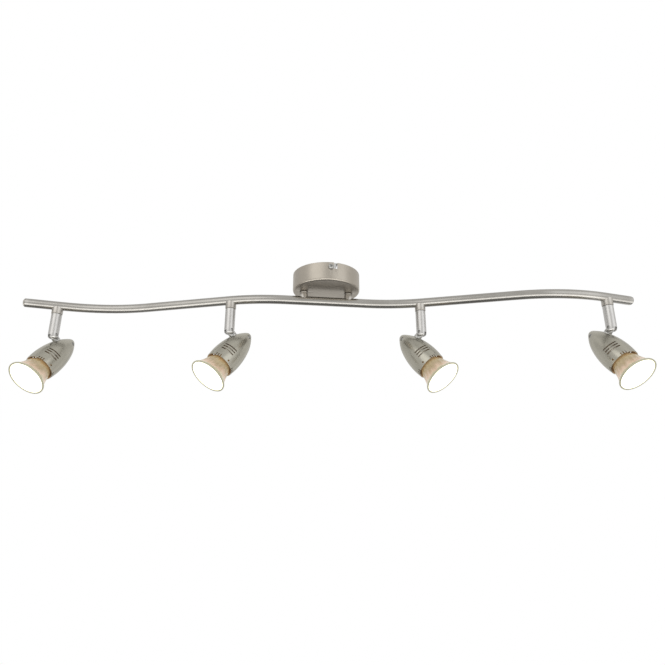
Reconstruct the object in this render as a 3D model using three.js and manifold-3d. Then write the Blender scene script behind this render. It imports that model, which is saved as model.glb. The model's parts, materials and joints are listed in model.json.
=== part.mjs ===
// Four-head ceiling spotlight bar: round canopy, waved tube, four swivelling and tilting GU10 heads.
// Millimetres, +Z up. Origin: centre of the ceiling plate's top face, X along the bar.
import * as THREE from 'three';
import { mergeVertices } from 'three/addons/utils/BufferGeometryUtils.js';
import Module from 'manifold-3d';

const wasm = await Module();
wasm.setup();

// ---- driving dimensions -------------------------------------------------------------------
const GAP = 0.3;                         // clearance between pieces that meet
const CANOPY = { radius: 45, height: 25, wall: 1.2, edge: 3.5 };
const PLATE = { length: 85, width: 18, thickness: 1.6, ear: 11, earWidth: 14, slotAt: 27 };
const CUP_SCREW = { bearing: -82, z: -6.5, thread: 2, head: 3.6, notchTurn: 8 };
const POST = { x: 30, radius: 5.5, stud: 3, bore: 1.9 };
const BAR = { radius: 6, bore: 4.9, z: -37.7, half: 406.6, endY: 3.9, bendX: [93, 307],
  bendY: [12.4, 36.5] };
const BAR_BEND = 215;                    // centreline radius of each bend
const COLLAR = { radius: 7, bottom: -50, lip: 4, headBore: 4.8, shankBore: 3.4 };
const ARM = { radius: 6.6, end: -85, round: 6, slot: 5, slotTop: -71.5 };
const PIVOT_Z = -79.9;                    // height of the tilt pin
const LINK = { thick: 4.4, tongue: 4.6, boss: 4.8, bossTop: -6.95, pin: 1.8 };
const AXIS_DROP = 23;                    // tilt pin down to the lamp axis
const NOSE = -21.2;                      // nose tip, along the lamp axis from the tilt pin
const SHELL = { length: 65.3, wall: 1.1 };
const VENT = { centres: [60, 180, 300], stations: [44.5, 48.5, 52.5], half: 28, width: 1.7 };
const NOTCH = { centres: [45, 135, 225, 315], width: 1.5, length: 3.2 };
const FACE = 67.2;                       // front of the lamp, along the lamp axis from the tilt pin
const LAMP = { radius: 25, neck: 10.2, base: 11.5, pinAt: 5, pinShank: 1.6, pinHead: 2.5 };
const HOLDER = { radius: 12, front: 19, back: 5, twist: 20 };
const HEADS = [
  { id: 'a', x: -369, aim: 247, dip: 48 },
  { id: 'b', x: -127, aim: 222.5, dip: 49 },
  { id: 'c', x: 127, aim: 321.5, dip: 48.5 },
  { id: 'd', x: 369, aim: 296, dip: 51.5 },
];
const SHELL_OUTLINE = [                  // distance from the nose tip, radius
  [0, 0], [0.5, 2.4], [2.5, 4.8], [8, 8.5], [17, 13.2],
  [30, 17.2], [42, 19.2], [50, 19.8], [58, 19.6], [65.3, 18.8],
];
const REFLECTOR_OUTLINE = [              // distance behind the lamp face, radius
  [1.6, 25], [2.4, 23.8], [4, 22.4], [8, 20.6], [13, 18.6], [19, 16.3], [24, 13.8], [29, 11], [33, 10.2],
];

const FINISH = {
  nickel: { color: 0xa9a7a0, roughness: 0.34, metalness: 1 },
  silver: { color: 0xc9cacb, roughness: 0.24, metalness: 1 },
  steel: { color: 0x9a9a98, roughness: 0.4, metalness: 1 },
  zinc: { color: 0xb4b3ad, roughness: 0.45, metalness: 1 },
  ceramic: { color: 0xe9e6dd, roughness: 0.7, metalness: 0 },
  dichroic: { color: 0xe3bd94, roughness: 0.2, metalness: 0.1 },
  glass: { color: 0xfffbea, roughness: 0.25, metalness: 0 },
  polymer: { color: 0xe8e6e0, roughness: 0.6, metalness: 0 },
};

// ---- helpers ------------------------------------------------------------------------------
const rad = THREE.MathUtils.degToRad;
const part = new THREE.Group();
part.name = 'spotlight_bar';

function addNode(name, geometry, finish, matrix = new THREE.Matrix4()) {
  const shape = welded(geometry.applyMatrix4(matrix));
  shape.computeVertexNormals();
  const mesh = new THREE.Mesh(shape, new THREE.MeshStandardMaterial(FINISH[finish]));
  mesh.name = name;
  part.add(mesh);
}

/** Indexed, welded copy of a geometry whose faces all point outwards. */
function welded(geometry) {
  const bare = geometry.clone();
  bare.deleteAttribute('normal');
  bare.deleteAttribute('uv');
  const shape = mergeVertices(bare, 1e-4);
  const index = shape.index.array;
  const keep = [];
  for (let i = 0; i < index.length; i += 3) {
    const [a, b, c] = [index[i], index[i + 1], index[i + 2]];
    if (a !== b && b !== c && c !== a) keep.push(a, b, c);
  }
  shape.setIndex(keep);
  if (volume(shape) < 0) shape.index.array.reverse();
  return shape;
}

function volume(shape) {
  const [a, b, c] = [new THREE.Vector3(), new THREE.Vector3(), new THREE.Vector3()];
  const { position } = shape.attributes;
  let sum = 0;
  for (let i = 0; i < shape.index.count; i += 3) {
    [a, b, c].forEach((v, k) => v.fromBufferAttribute(position, shape.index.array[i + k]));
    sum += a.dot(b.cross(c)) / 6;
  }
  return sum;
}

function solid(geometry) {
  const shape = welded(geometry);
  return new wasm.Manifold(new wasm.Mesh({
    numProp: 3,
    vertProperties: new Float32Array(shape.attributes.position.array),
    triVerts: new Uint32Array(shape.index.array),
  }));
}

function geometryOf(manifold) {
  const mesh = manifold.getMesh();
  const geometry = new THREE.BufferGeometry();
  geometry.setAttribute('position', new THREE.BufferAttribute(new Float32Array(mesh.vertProperties), 3));
  geometry.setIndex(new THREE.BufferAttribute(new Uint32Array(mesh.triVerts), 1));
  geometry.computeVertexNormals();
  return geometry;
}

/** First geometry with all the others removed from it. */
function cut(body, ...tools) {
  return geometryOf(tools.map(solid).reduce((left, tool) => left.subtract(tool), solid(body)));
}

function join(...pieces) {
  return geometryOf(pieces.map(solid).reduce((left, piece) => left.add(piece)));
}

/** Solid of revolution about Z from [radius, z] pairs. */
function turned(outline, segments = 24) {
  return turnedAlongY(outline, segments).rotateX(Math.PI / 2);
}

/** Solid of revolution about Y from [radius, y] pairs; the outline is closed when it ends off the axis. */
function turnedAlongY(outline, segments = 24) {
  const points = outline.map(([r, y]) => new THREE.Vector2(r, y));
  if (points[0].x > 0) points.push(points[0].clone());
  return new THREE.LatheGeometry(points, segments);
}

/** Straight rod about Z, Y or X between two stations. */
function rod(axis, radius, from, to, segments = 16) {
  const shape = new THREE.CylinderGeometry(radius, radius, Math.abs(to - from), segments);
  shape.translate(0, (from + to) / 2, 0);
  if (axis === 'z') shape.rotateX(Math.PI / 2);
  if (axis === 'x') shape.rotateZ(-Math.PI / 2);
  return shape;
}

function block(sizeX, sizeY, sizeZ, x = 0, y = 0, z = 0) {
  return new THREE.BoxGeometry(sizeX, sizeY, sizeZ).translate(x, y, z);
}

/** Closed circle of points, used for tube sections. */
function circle(radius, count) {
  return Array.from({ length: count }, (_, i) => {
    const angle = (2 * Math.PI * i) / count;
    return new THREE.Vector2(radius * Math.cos(angle), radius * Math.sin(angle));
  });
}

/** Curved slot with round ends, extruded from z = 0 to depth. */
function arcSlot(radius, halfWidth, fromDeg, toDeg, depth) {
  const [a, b] = [rad(fromDeg), rad(toDeg)];
  const shape = new THREE.Shape();
  shape.absarc(0, 0, radius + halfWidth, a, b, false);
  shape.absarc(radius * Math.cos(b), radius * Math.sin(b), halfWidth, b, b + Math.PI, false);
  shape.absarc(0, 0, radius - halfWidth, b, a, true);
  shape.absarc(radius * Math.cos(a), radius * Math.sin(a), halfWidth, a + Math.PI, a + 2 * Math.PI, false);
  return new THREE.ExtrudeGeometry(shape, { depth, bevelEnabled: false, curveSegments: 2 });
}

// ---- canopy -------------------------------------------------------------------------------
const cupScrewTurn = new THREE.Matrix4().makeRotationZ(rad(CUP_SCREW.bearing));
const halfTurn = (side) => new THREE.Matrix4().makeRotationZ(rad(CUP_SCREW.bearing + (side > 0 ? 0 : 180)));

function canopyCup() {
  const { radius, height, wall, edge } = CANOPY;
  const cup = turned([
    [0, -height], [radius - edge, -height], [radius - 1.2, -height + 1], [radius, -height + edge],
    [radius, -GAP], [radius - wall, -GAP], [radius - wall, -height + edge],
    [radius - edge, -height + wall], [0, -height + wall],
  ], 36);
  const tools = [];
  for (const side of [1, -1]) {
    const at = barPoint(side * POST.x);
    tools.push(rod('z', POST.stud + GAP, -height - 1, -height + 3, 12).translate(at.x, at.y, 0));
    for (const tool of bayonet()) tools.push(tool.applyMatrix4(halfTurn(side)));
  }
  return cut(cup, ...tools);
}

/** Entry notch in the rim and the side run that leads to the cup screw. */
function bayonet() {
  const turn = rad(CUP_SCREW.notchTurn);
  const width = 2 * (CUP_SCREW.thread + GAP);
  const notch = block(8, width, 1 - CUP_SCREW.z + CUP_SCREW.thread, CANOPY.radius, 0,
    (1 + CUP_SCREW.z - CUP_SCREW.thread) / 2).rotateZ(turn);
  const run = block(8, CANOPY.radius * turn, width, CANOPY.radius, (CANOPY.radius * turn) / 2, CUP_SCREW.z);
  const seat = rod('x', width / 2, CANOPY.radius - 4, CANOPY.radius + 4, 12).translate(0, 0, CUP_SCREW.z);
  return [notch, run, seat];
}

function ceilingPlate() {
  const { length, width, thickness, ear, earWidth, slotAt } = PLATE;
  const strap = block(length, width, thickness, 0, 0, -thickness / 2);
  const ears = [1, -1].map((side) => block(thickness, earWidth, ear,
    side * (length - thickness) / 2, 0, -ear / 2));
  const slots = [1, -1].flatMap((side) => [
    block(7, 4.6, 4, side * slotAt, 0, 0),
    rod('z', 2.3, -3, 3, 12).translate(side * slotAt - 3.5, 0, 0),
    rod('z', 2.3, -3, 3, 12).translate(side * slotAt + 3.5, 0, 0),
  ]);
  const threads = [1, -1].map((side) => rod('x', CUP_SCREW.thread + 0.1,
    side * (length / 2 - 4), side * (length / 2 + 4), 12).translate(0, 0, CUP_SCREW.z));
  return cut(join(strap, ...ears), ...slots, ...threads).applyMatrix4(cupScrewTurn);
}

function cupScrew() {
  const outside = CANOPY.radius + GAP;
  const head = turnedAlongY([[0, outside + 2.4], [2.2, outside + 2.2], [CUP_SCREW.head, outside + 1.2],
    [CUP_SCREW.head, outside], [CUP_SCREW.thread - 0.1, outside], [CUP_SCREW.thread - 0.1, outside - 8],
    [0, outside - 8]], 12).rotateZ(-Math.PI / 2);
  const slot = block(2, 1, 9, outside + 2.3, 0, 0);
  return cut(head, slot).translate(0, 0, CUP_SCREW.z);
}

/** Three-way screw connector under the ceiling plate. */
function terminalBlock() {
  const top = -PLATE.thickness - GAP;
  const body = block(30, 16, 12, 0, 0, top - 6);
  const ways = [-9.5, 0, 9.5];
  const wireways = ways.map((x) => rod('y', 2, -9, 9, 8).translate(x, 0, top - 7.5));
  const screws = ways.flatMap((x) => [-4.5, 4.5].map((y) => rod('z', 1.7, top - 13, top - 8, 8)
    .translate(x, y, 0)));
  return cut(body, ...wireways, ...screws).applyMatrix4(cupScrewTurn);
}

// ---- bar ----------------------------------------------------------------------------------
/** Centreline of the bar: straight runs with rounded bends, the right half mirroring the left. */
function barPath() {
  const [innerX, outerX] = BAR.bendX;
  const [innerY, outerY] = BAR.bendY;
  const corners = [[-BAR.half, BAR.endY], [-outerX, outerY], [-innerX, -innerY],
    [innerX, innerY], [outerX, -outerY], [BAR.half, -BAR.endY]]
    .map(([x, y]) => new THREE.Vector3(x, y, BAR.z));
  const path = new THREE.CurvePath();
  let start = corners[0];
  for (let i = 1; i < corners.length - 1; i++) {
    const before = corners[i - 1].clone().sub(corners[i]).normalize();
    const after = corners[i + 1].clone().sub(corners[i]).normalize();
    const reach = BAR_BEND * Math.tan((Math.PI - before.angleTo(after)) / 2);
    const enter = corners[i].clone().addScaledVector(before, reach);
    const leave = corners[i].clone().addScaledVector(after, reach);
    path.add(new THREE.LineCurve3(start, enter));
    path.add(new THREE.QuadraticBezierCurve3(enter, corners[i], leave));
    start = leave;
  }
  path.add(new THREE.LineCurve3(start, corners[corners.length - 1]));
  return path;
}

const path = barPath();

function barStation(x) {
  let [low, high] = [0, 1];
  for (let i = 0; i < 40; i++) {
    const middle = (low + high) / 2;
    if (path.getPointAt(middle).x < x) low = middle;
    else high = middle;
  }
  return low;
}

function barPoint(x) {
  return path.getPointAt(barStation(x));
}

function barHeading(x) {
  const tangent = path.getTangentAt(barStation(x));
  return Math.atan2(tangent.y, tangent.x);
}

function barTube() {
  const section = new THREE.Shape(circle(BAR.radius, 16));
  section.holes.push(new THREE.Path(circle(BAR.bore, 8).reverse()));
  const tube = new THREE.ExtrudeGeometry(section, { steps: 32, extrudePath: path, bevelEnabled: false });
  const tools = [];
  for (const { x } of HEADS) {
    const at = barPoint(x);
    tools.push(rod('z', 2.4, BAR.z - 8, BAR.z, 8).translate(at.x, at.y, 0));
  }
  for (const side of [1, -1]) {
    const at = barPoint(side * POST.x);
    tools.push(rod('z', POST.stud + 0.1, BAR.z, BAR.z + 8, 12).translate(at.x, at.y, 0));
  }
  return cut(tube, ...tools);
}

function barCap(side) {
  const cap = turnedAlongY([[0, 3.4], [2.6, 3.1], [4.6, 2.1], [5.7, 0.9], [5.9, GAP], [4.5, GAP],
    [4.5, -7], [0, -7]], 16);
  const heading = barHeading(side * BAR.half) - (side * Math.PI) / 2;
  const at = barPoint(side * BAR.half);
  return cap.rotateZ(heading).translate(at.x, at.y, at.z);
}

/** Spacer saddled on the bar; its hollow stud passes through the canopy floor and into the bar. */
function post(x) {
  const at = barPoint(x);
  const top = -CANOPY.height - GAP;
  const spacer = turned([[0, top], [POST.radius - 0.5, top], [POST.radius, top - 0.5],
    [POST.radius, BAR.z + 2.6], [0, BAR.z + 2.6]], 20);
  const stud = rod('z', POST.stud, BAR.z + 3.4, 8 + top, 12);
  return cut(join(cut(spacer, saddle(x)), stud), rod('z', POST.bore, BAR.z, 0, 8))
    .translate(at.x, at.y, 0);
}

/** Cutter that shapes the end of a piece to sit round the bar at x. */
function saddle(x) {
  return rod('x', BAR.radius + GAP, -12, 12, 24).rotateZ(barHeading(x)).translate(0, 0, BAR.z);
}

function postNut() {
  const bottom = -CANOPY.height + CANOPY.wall + 0.1;
  return cut(rod('z', 5.8, bottom, bottom + 3.4, 6), rod('z', POST.stud + 0.1, bottom - 1, bottom + 5, 12));
}

// ---- arm ----------------------------------------------------------------------------------
/** Short saddle fixed under the bar; its lip carries the swivel tube. */
function collar(x) {
  const { radius, bottom, lip, headBore, shankBore } = COLLAR;
  const top = BAR.z - 2.5;
  const body = turned([[shankBore, bottom], [radius - 0.5, bottom], [radius, bottom + 0.5], [radius, top],
    [headBore, top], [headBore, bottom + lip], [shankBore, bottom + lip]], 16);
  const at = barPoint(x);
  return cut(body, saddle(x)).translate(at.x, at.y, 0);
}

/** Flanged tube that turns in the collar and carries the wires down into the arm. */
function swivelTube() {
  const shoulder = COLLAR.bottom + COLLAR.lip + GAP;
  return turned([[1.7, shoulder + 1.6], [COLLAR.headBore - GAP, shoulder + 1.6],
    [COLLAR.headBore - GAP, shoulder], [COLLAR.shankBore - GAP, shoulder],
    [COLLAR.shankBore - GAP, -58], [1.7, -58]], 12);
}

function armTube() {
  const { radius, end, round, slot, slotTop } = ARM;
  const top = COLLAR.bottom - GAP;
  const body = turned([[0, end], [radius - 2.8, end], [radius - 1.1, end + 0.25 * round],
    [radius - 0.3, end + 0.6 * round], [radius, end + round], [radius, top - 0.5], [radius - 0.5, top],
    [3.2, top], [3.2, -59], [2, -59], [2, slotTop - 1], [0, slotTop - 1]], 16);
  const fork = block(slot, 20, slotTop - end + 2, 0, 0, (slotTop + end - 2) / 2);
  return cut(body, fork, rod('x', LINK.pin + 0.1, -9, 9, 12).translate(0, 0, PIVOT_Z));
}

// ---- head, built about the tilt pin: X is the pin, Y points to the lamp face, Z is up ------
function shellCurve() {
  return SHELL_OUTLINE.map(([y, r]) => new THREE.Vector2(r, y + NOSE));
}

/** Outline moved inwards by the given distance, kept off the far side of the axis. */
function inset(points, distance) {
  return points.map((point, i) => {
    const ahead = points[Math.min(i + 1, points.length - 1)];
    const behind = points[Math.max(i - 1, 0)];
    const along = ahead.clone().sub(behind).normalize();
    return new THREE.Vector2(Math.max(point.x - along.y * distance, 0), point.y + along.x * distance);
  });
}

function tiltLink() {
  const { thick, tongue, boss, bossTop, pin } = LINK;
  const eye = rod('x', tongue, -thick / 2, thick / 2, 16);
  const blade = block(thick, 2 * tongue, 11, 0, 0, -5.5);
  const foot = turned([[0, bossTop], [boss - 0.5, bossTop], [boss, bossTop - 0.5], [boss, -16],
    [0, -16]], 16);
  const shellShape = inset(shellCurve(), -0.15).map((point) => [point.x, point.y]);
  shellShape.push([0, shellShape[shellShape.length - 1][1]]);
  shellShape[0][0] = 0;
  const shell = turnedAlongY(shellShape, 20).translate(0, 0, -AXIS_DROP);
  return cut(join(eye, blade, foot), shell, rod('x', pin + 0.2, -5, 5, 12));
}

function vents() {
  const tools = [];
  for (const centre of VENT.centres) {
    for (const station of VENT.stations) {
      const sector = new THREE.Shape();
      sector.absarc(0, 0, 21, rad(90 - VENT.half), rad(90 + VENT.half), false);
      sector.absarc(0, 0, 13, rad(90 + VENT.half), rad(90 - VENT.half), true);
      const flat = { depth: VENT.width, bevelEnabled: false, curveSegments: 1 };
      const slit = new THREE.ExtrudeGeometry(sector, flat);
      tools.push(slit.translate(0, 0, -VENT.width / 2).rotateX(Math.PI / 2)
        .applyMatrix4(aroundAxis(centre, station)));
    }
  }
  return tools;
}

/** Places a cutter made on +Z at an angle round the lamp axis and a distance from the nose tip. */
function aroundAxis(angle, station) {
  return new THREE.Matrix4().makeTranslation(0, NOSE + station, 0)
    .multiply(new THREE.Matrix4().makeRotationY(rad(angle)));
}

function rimNotches() {
  const tools = [];
  for (const centre of NOTCH.centres) {
    tools.push(block(NOTCH.width, 2 * NOTCH.length, 8, 0, 0, 16)
      .applyMatrix4(aroundAxis(centre, SHELL.length)));
  }
  return tools;
}

function housing() {
  const outer = shellCurve();
  const inner = inset(outer, SHELL.wall).slice(2, -1).reverse();
  const rim = new THREE.Vector2(outer[outer.length - 1].x - SHELL.wall, NOSE + SHELL.length);
  const outline = [...outer, rim, ...inner].map((point) => [point.x, point.y]);
  outline.push([0, NOSE + 2 * SHELL.wall]);
  const tools = [...vents(), ...rimNotches()];
  for (const side of [90, 270]) {
    tools.push(rod('z', 1.2, 12, 20, 8).applyMatrix4(aroundAxis(side, SHELL.length - 3)));
  }
  tools.push(rod('x', 2.6, -14, 14, 12).translate(0, NOSE + 9, 0));
  tools.push(rod('z', 2, 8, 18, 8).translate(0, 1, 0));
  return cut(turnedAlongY(outline, 20), ...tools).translate(0, 0, -AXIS_DROP);
}

/** Cross rivet through the nose; it carries the lampholder bracket. */
function noseRivet() {
  const reach = 8.8;
  const outline = [[0, -reach], [2.3, -reach + 0.6], [2.3, -reach + 1.6], [1.4, -reach + 1.6],
    [1.4, reach - 1.6], [2.3, reach - 1.6], [2.3, reach - 0.6], [0, reach]];
  return turnedAlongY(outline, 8).rotateZ(-Math.PI / 2).translate(0, NOSE + 9, -AXIS_DROP);
}

function holderBracket() {
  const disc = rod('y', 9.5, HOLDER.back - 1.5, HOLDER.back - GAP, 16);
  const leg = block(7, 19, 5, 0, HOLDER.back - 1.2 - 9.5, 0);
  const hole = rod('x', 1.6, -5, 5, 10).translate(0, NOSE + 9, 0);
  return cut(join(disc, leg), hole).translate(0, 0, -AXIS_DROP);
}

/** Twist-lock lampholder with two keyhole tracks for the lamp pins. */
function lampHolder() {
  const { radius, front, back, twist } = HOLDER;
  const body = turnedAlongY([[0, back], [radius - 1, back], [radius, back + 5], [radius, front - 1],
    [radius - 1, front], [0, front]], 16);
  const tools = [];
  for (const side of [0, 180]) {
    const track = (halfWidth, from, depth) => arcSlot(LAMP.pinAt, halfWidth, side, side + twist, depth)
      .rotateX(-Math.PI / 2).translate(0, from, 0);
    tools.push(track(LAMP.pinShank + GAP, front - 5, 7));
    tools.push(track(LAMP.pinHead + GAP, front - 7, 3.6));
    tools.push(rod('y', LAMP.pinHead + GAP, front - 7, front + 2, 8).translate(
      LAMP.pinAt * Math.cos(rad(side + twist)), 0, -LAMP.pinAt * Math.sin(rad(side + twist))));
  }
  return cut(body, ...tools).translate(0, 0, -AXIS_DROP);
}

function lampBase() {
  const { base, pinAt, pinShank, pinHead } = LAMP;
  const seat = HOLDER.front + GAP;
  const plug = turnedAlongY([[0, seat], [base - 1, seat], [base, seat + 1], [base, seat + 9],
    [base - 2, FACE - 33 - GAP], [8.4, FACE - 33 - GAP], [8.4, FACE - 29], [0, FACE - 29]], 16);
  const pins = [1, -1].map((side) => turnedAlongY([[0, seat + 1], [pinShank, seat + 1],
    [pinShank, seat - 3.9], [pinHead, seat - 4.2], [pinHead, seat - 6.2], [pinHead - 0.6, seat - 6.7],
    [0, seat - 6.7]], 8).translate(side * pinAt, 0, 0));
  return join(plug, ...pins).translate(0, 0, -AXIS_DROP);
}

function reflector() {
  const wall = 1.2;
  const outer = [[0, 25], ...REFLECTOR_OUTLINE].map(([back, r]) => [r, FACE - back]);
  const inner = REFLECTOR_OUTLINE.slice(2).reverse().map(([back, r]) => [r - wall, FACE - back]);
  const bowl = [...outer, ...inner, [23.6, FACE - 1.7], [23.6, FACE]];
  return turnedAlongY(bowl, 20).translate(0, 0, -AXIS_DROP);
}

function frontGlass() {
  const outline = [[0, FACE - 0.2], [12, FACE - 0.3], [23.3, FACE - 0.6], [23.3, FACE - 1.4],
    [0, FACE - 1.4]];
  return turnedAlongY(outline, 20).translate(0, 0, -AXIS_DROP);
}

// ---- assembly -----------------------------------------------------------------------------
addNode('canopy_cup', canopyCup(), 'nickel');
addNode('ceiling_plate', ceilingPlate(), 'zinc');
addNode('cup_screw_front', cupScrew(), 'steel', halfTurn(1));
addNode('cup_screw_rear', cupScrew(), 'steel', halfTurn(-1));
addNode('terminal_block', terminalBlock(), 'polymer');
addNode('bar_tube', barTube(), 'nickel');
for (const [side, label] of [[-1, 'left'], [1, 'right']]) {
  const at = barPoint(side * POST.x);
  addNode(`bar_cap_${label}`, barCap(side), 'nickel');
  addNode(`post_${label}`, post(side * POST.x), 'nickel');
  addNode(`post_nut_${label}`, postNut().translate(at.x, at.y, 0), 'zinc');
}

for (const { id, x, aim, dip } of HEADS) {
  const at = barPoint(x);
  const ahead = new THREE.Vector3(Math.cos(rad(aim)), Math.sin(rad(aim)), 0);
  const up = new THREE.Vector3(0, 0, 1);
  const pin = ahead.clone().cross(up);
  const axis = ahead.clone().multiplyScalar(Math.cos(rad(dip))).addScaledVector(up, -Math.sin(rad(dip)));
  const armPose = new THREE.Matrix4().makeBasis(pin, ahead, up).setPosition(at.x, at.y, 0);
  const headPose = new THREE.Matrix4().makeBasis(pin, axis, pin.clone().cross(axis))
    .setPosition(at.x, at.y, PIVOT_Z);
  addNode(`collar_${id}`, collar(x), 'nickel');
  addNode(`swivel_tube_${id}`, swivelTube(), 'zinc', armPose);
  addNode(`arm_${id}`, armTube(), 'silver', armPose);
  addNode(`tilt_pin_${id}`, rod('x', LINK.pin, -5.8, 5.8, 10).translate(0, 0, PIVOT_Z), 'steel', armPose);
  addNode(`tilt_link_${id}`, tiltLink(), 'silver', headPose);
  addNode(`housing_${id}`, housing(), 'nickel', headPose);
  addNode(`nose_rivet_${id}`, noseRivet(), 'steel', headPose);
  addNode(`holder_bracket_${id}`, holderBracket(), 'zinc', headPose);
  addNode(`lampholder_${id}`, lampHolder(), 'ceramic', headPose);
  addNode(`lamp_base_${id}`, lampBase(), 'ceramic', headPose);
  addNode(`lamp_reflector_${id}`, reflector(), 'dichroic', headPose);
  addNode(`lamp_glass_${id}`, frontGlass(), 'glass', headPose);
}

export default part;
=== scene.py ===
"""Looks of a ceiling spotlight bar with four swivelling heads.

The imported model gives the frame: bodies, joints and the box of every node. The classes below build
the pieces that are seen, in metres, in that frame, and dress the nodes that are kept. Sizes that the
frame can't tell are dataclass fields of the sub-assembly that they belong to.
"""

from __future__ import annotations

import json
import logging
import math
from collections.abc import Callable, Sequence
from dataclasses import dataclass, field
from enum import Enum
from typing import Any

import bmesh
import bpy
from bpy.types import Material, Mesh, Node, NodeSocket, NodeTree, Object
from mathutils import Matrix, Vector

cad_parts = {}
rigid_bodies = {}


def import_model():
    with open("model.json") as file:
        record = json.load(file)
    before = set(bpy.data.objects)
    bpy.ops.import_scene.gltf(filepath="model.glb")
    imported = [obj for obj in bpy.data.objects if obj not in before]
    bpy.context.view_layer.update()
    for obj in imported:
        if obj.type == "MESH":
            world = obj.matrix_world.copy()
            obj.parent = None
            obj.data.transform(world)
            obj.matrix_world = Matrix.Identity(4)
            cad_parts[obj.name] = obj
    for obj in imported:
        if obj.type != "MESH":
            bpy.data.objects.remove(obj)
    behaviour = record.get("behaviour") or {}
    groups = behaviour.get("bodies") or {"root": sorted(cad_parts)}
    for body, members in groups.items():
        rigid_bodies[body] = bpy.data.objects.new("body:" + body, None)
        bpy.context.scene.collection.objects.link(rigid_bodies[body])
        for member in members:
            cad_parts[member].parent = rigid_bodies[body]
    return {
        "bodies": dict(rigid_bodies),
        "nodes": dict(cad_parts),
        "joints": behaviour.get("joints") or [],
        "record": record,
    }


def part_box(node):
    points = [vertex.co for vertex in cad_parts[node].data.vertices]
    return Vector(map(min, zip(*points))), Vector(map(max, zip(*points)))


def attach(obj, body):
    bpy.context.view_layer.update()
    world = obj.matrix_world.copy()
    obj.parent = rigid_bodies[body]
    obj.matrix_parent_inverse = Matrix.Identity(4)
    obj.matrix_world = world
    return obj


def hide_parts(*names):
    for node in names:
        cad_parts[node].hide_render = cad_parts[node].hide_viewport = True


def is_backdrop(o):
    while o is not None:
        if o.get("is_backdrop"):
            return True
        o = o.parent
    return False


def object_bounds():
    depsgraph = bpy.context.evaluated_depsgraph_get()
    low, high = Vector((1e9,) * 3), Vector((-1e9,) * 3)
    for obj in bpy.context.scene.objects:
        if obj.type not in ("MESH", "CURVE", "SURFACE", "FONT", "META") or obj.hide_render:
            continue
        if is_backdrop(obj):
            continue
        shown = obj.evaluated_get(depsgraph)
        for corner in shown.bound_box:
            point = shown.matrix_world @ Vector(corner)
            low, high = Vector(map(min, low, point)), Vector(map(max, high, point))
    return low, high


LOG = logging.getLogger("spotlight_bar")
MM = 0.001

Outline = list[tuple[float, float]]
Colour = tuple[float, float, float]
Ring = list[bmesh.types.BMVert]


# ---- finishes ------------------------------------------------------------------------------


class Grain(Enum):
    """Which way the fine lines of a metal finish run, in a piece's own axes."""

    TURNED_Z = (4.0, 4.0, 2600.0)
    TURNED_Y = (4.0, 2600.0, 4.0)
    DRAWN_Z = (1500.0, 1500.0, 12.0)
    DRAWN_X = (10.0, 1500.0, 1500.0)
    CAST = (420.0, 420.0, 420.0)


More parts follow.
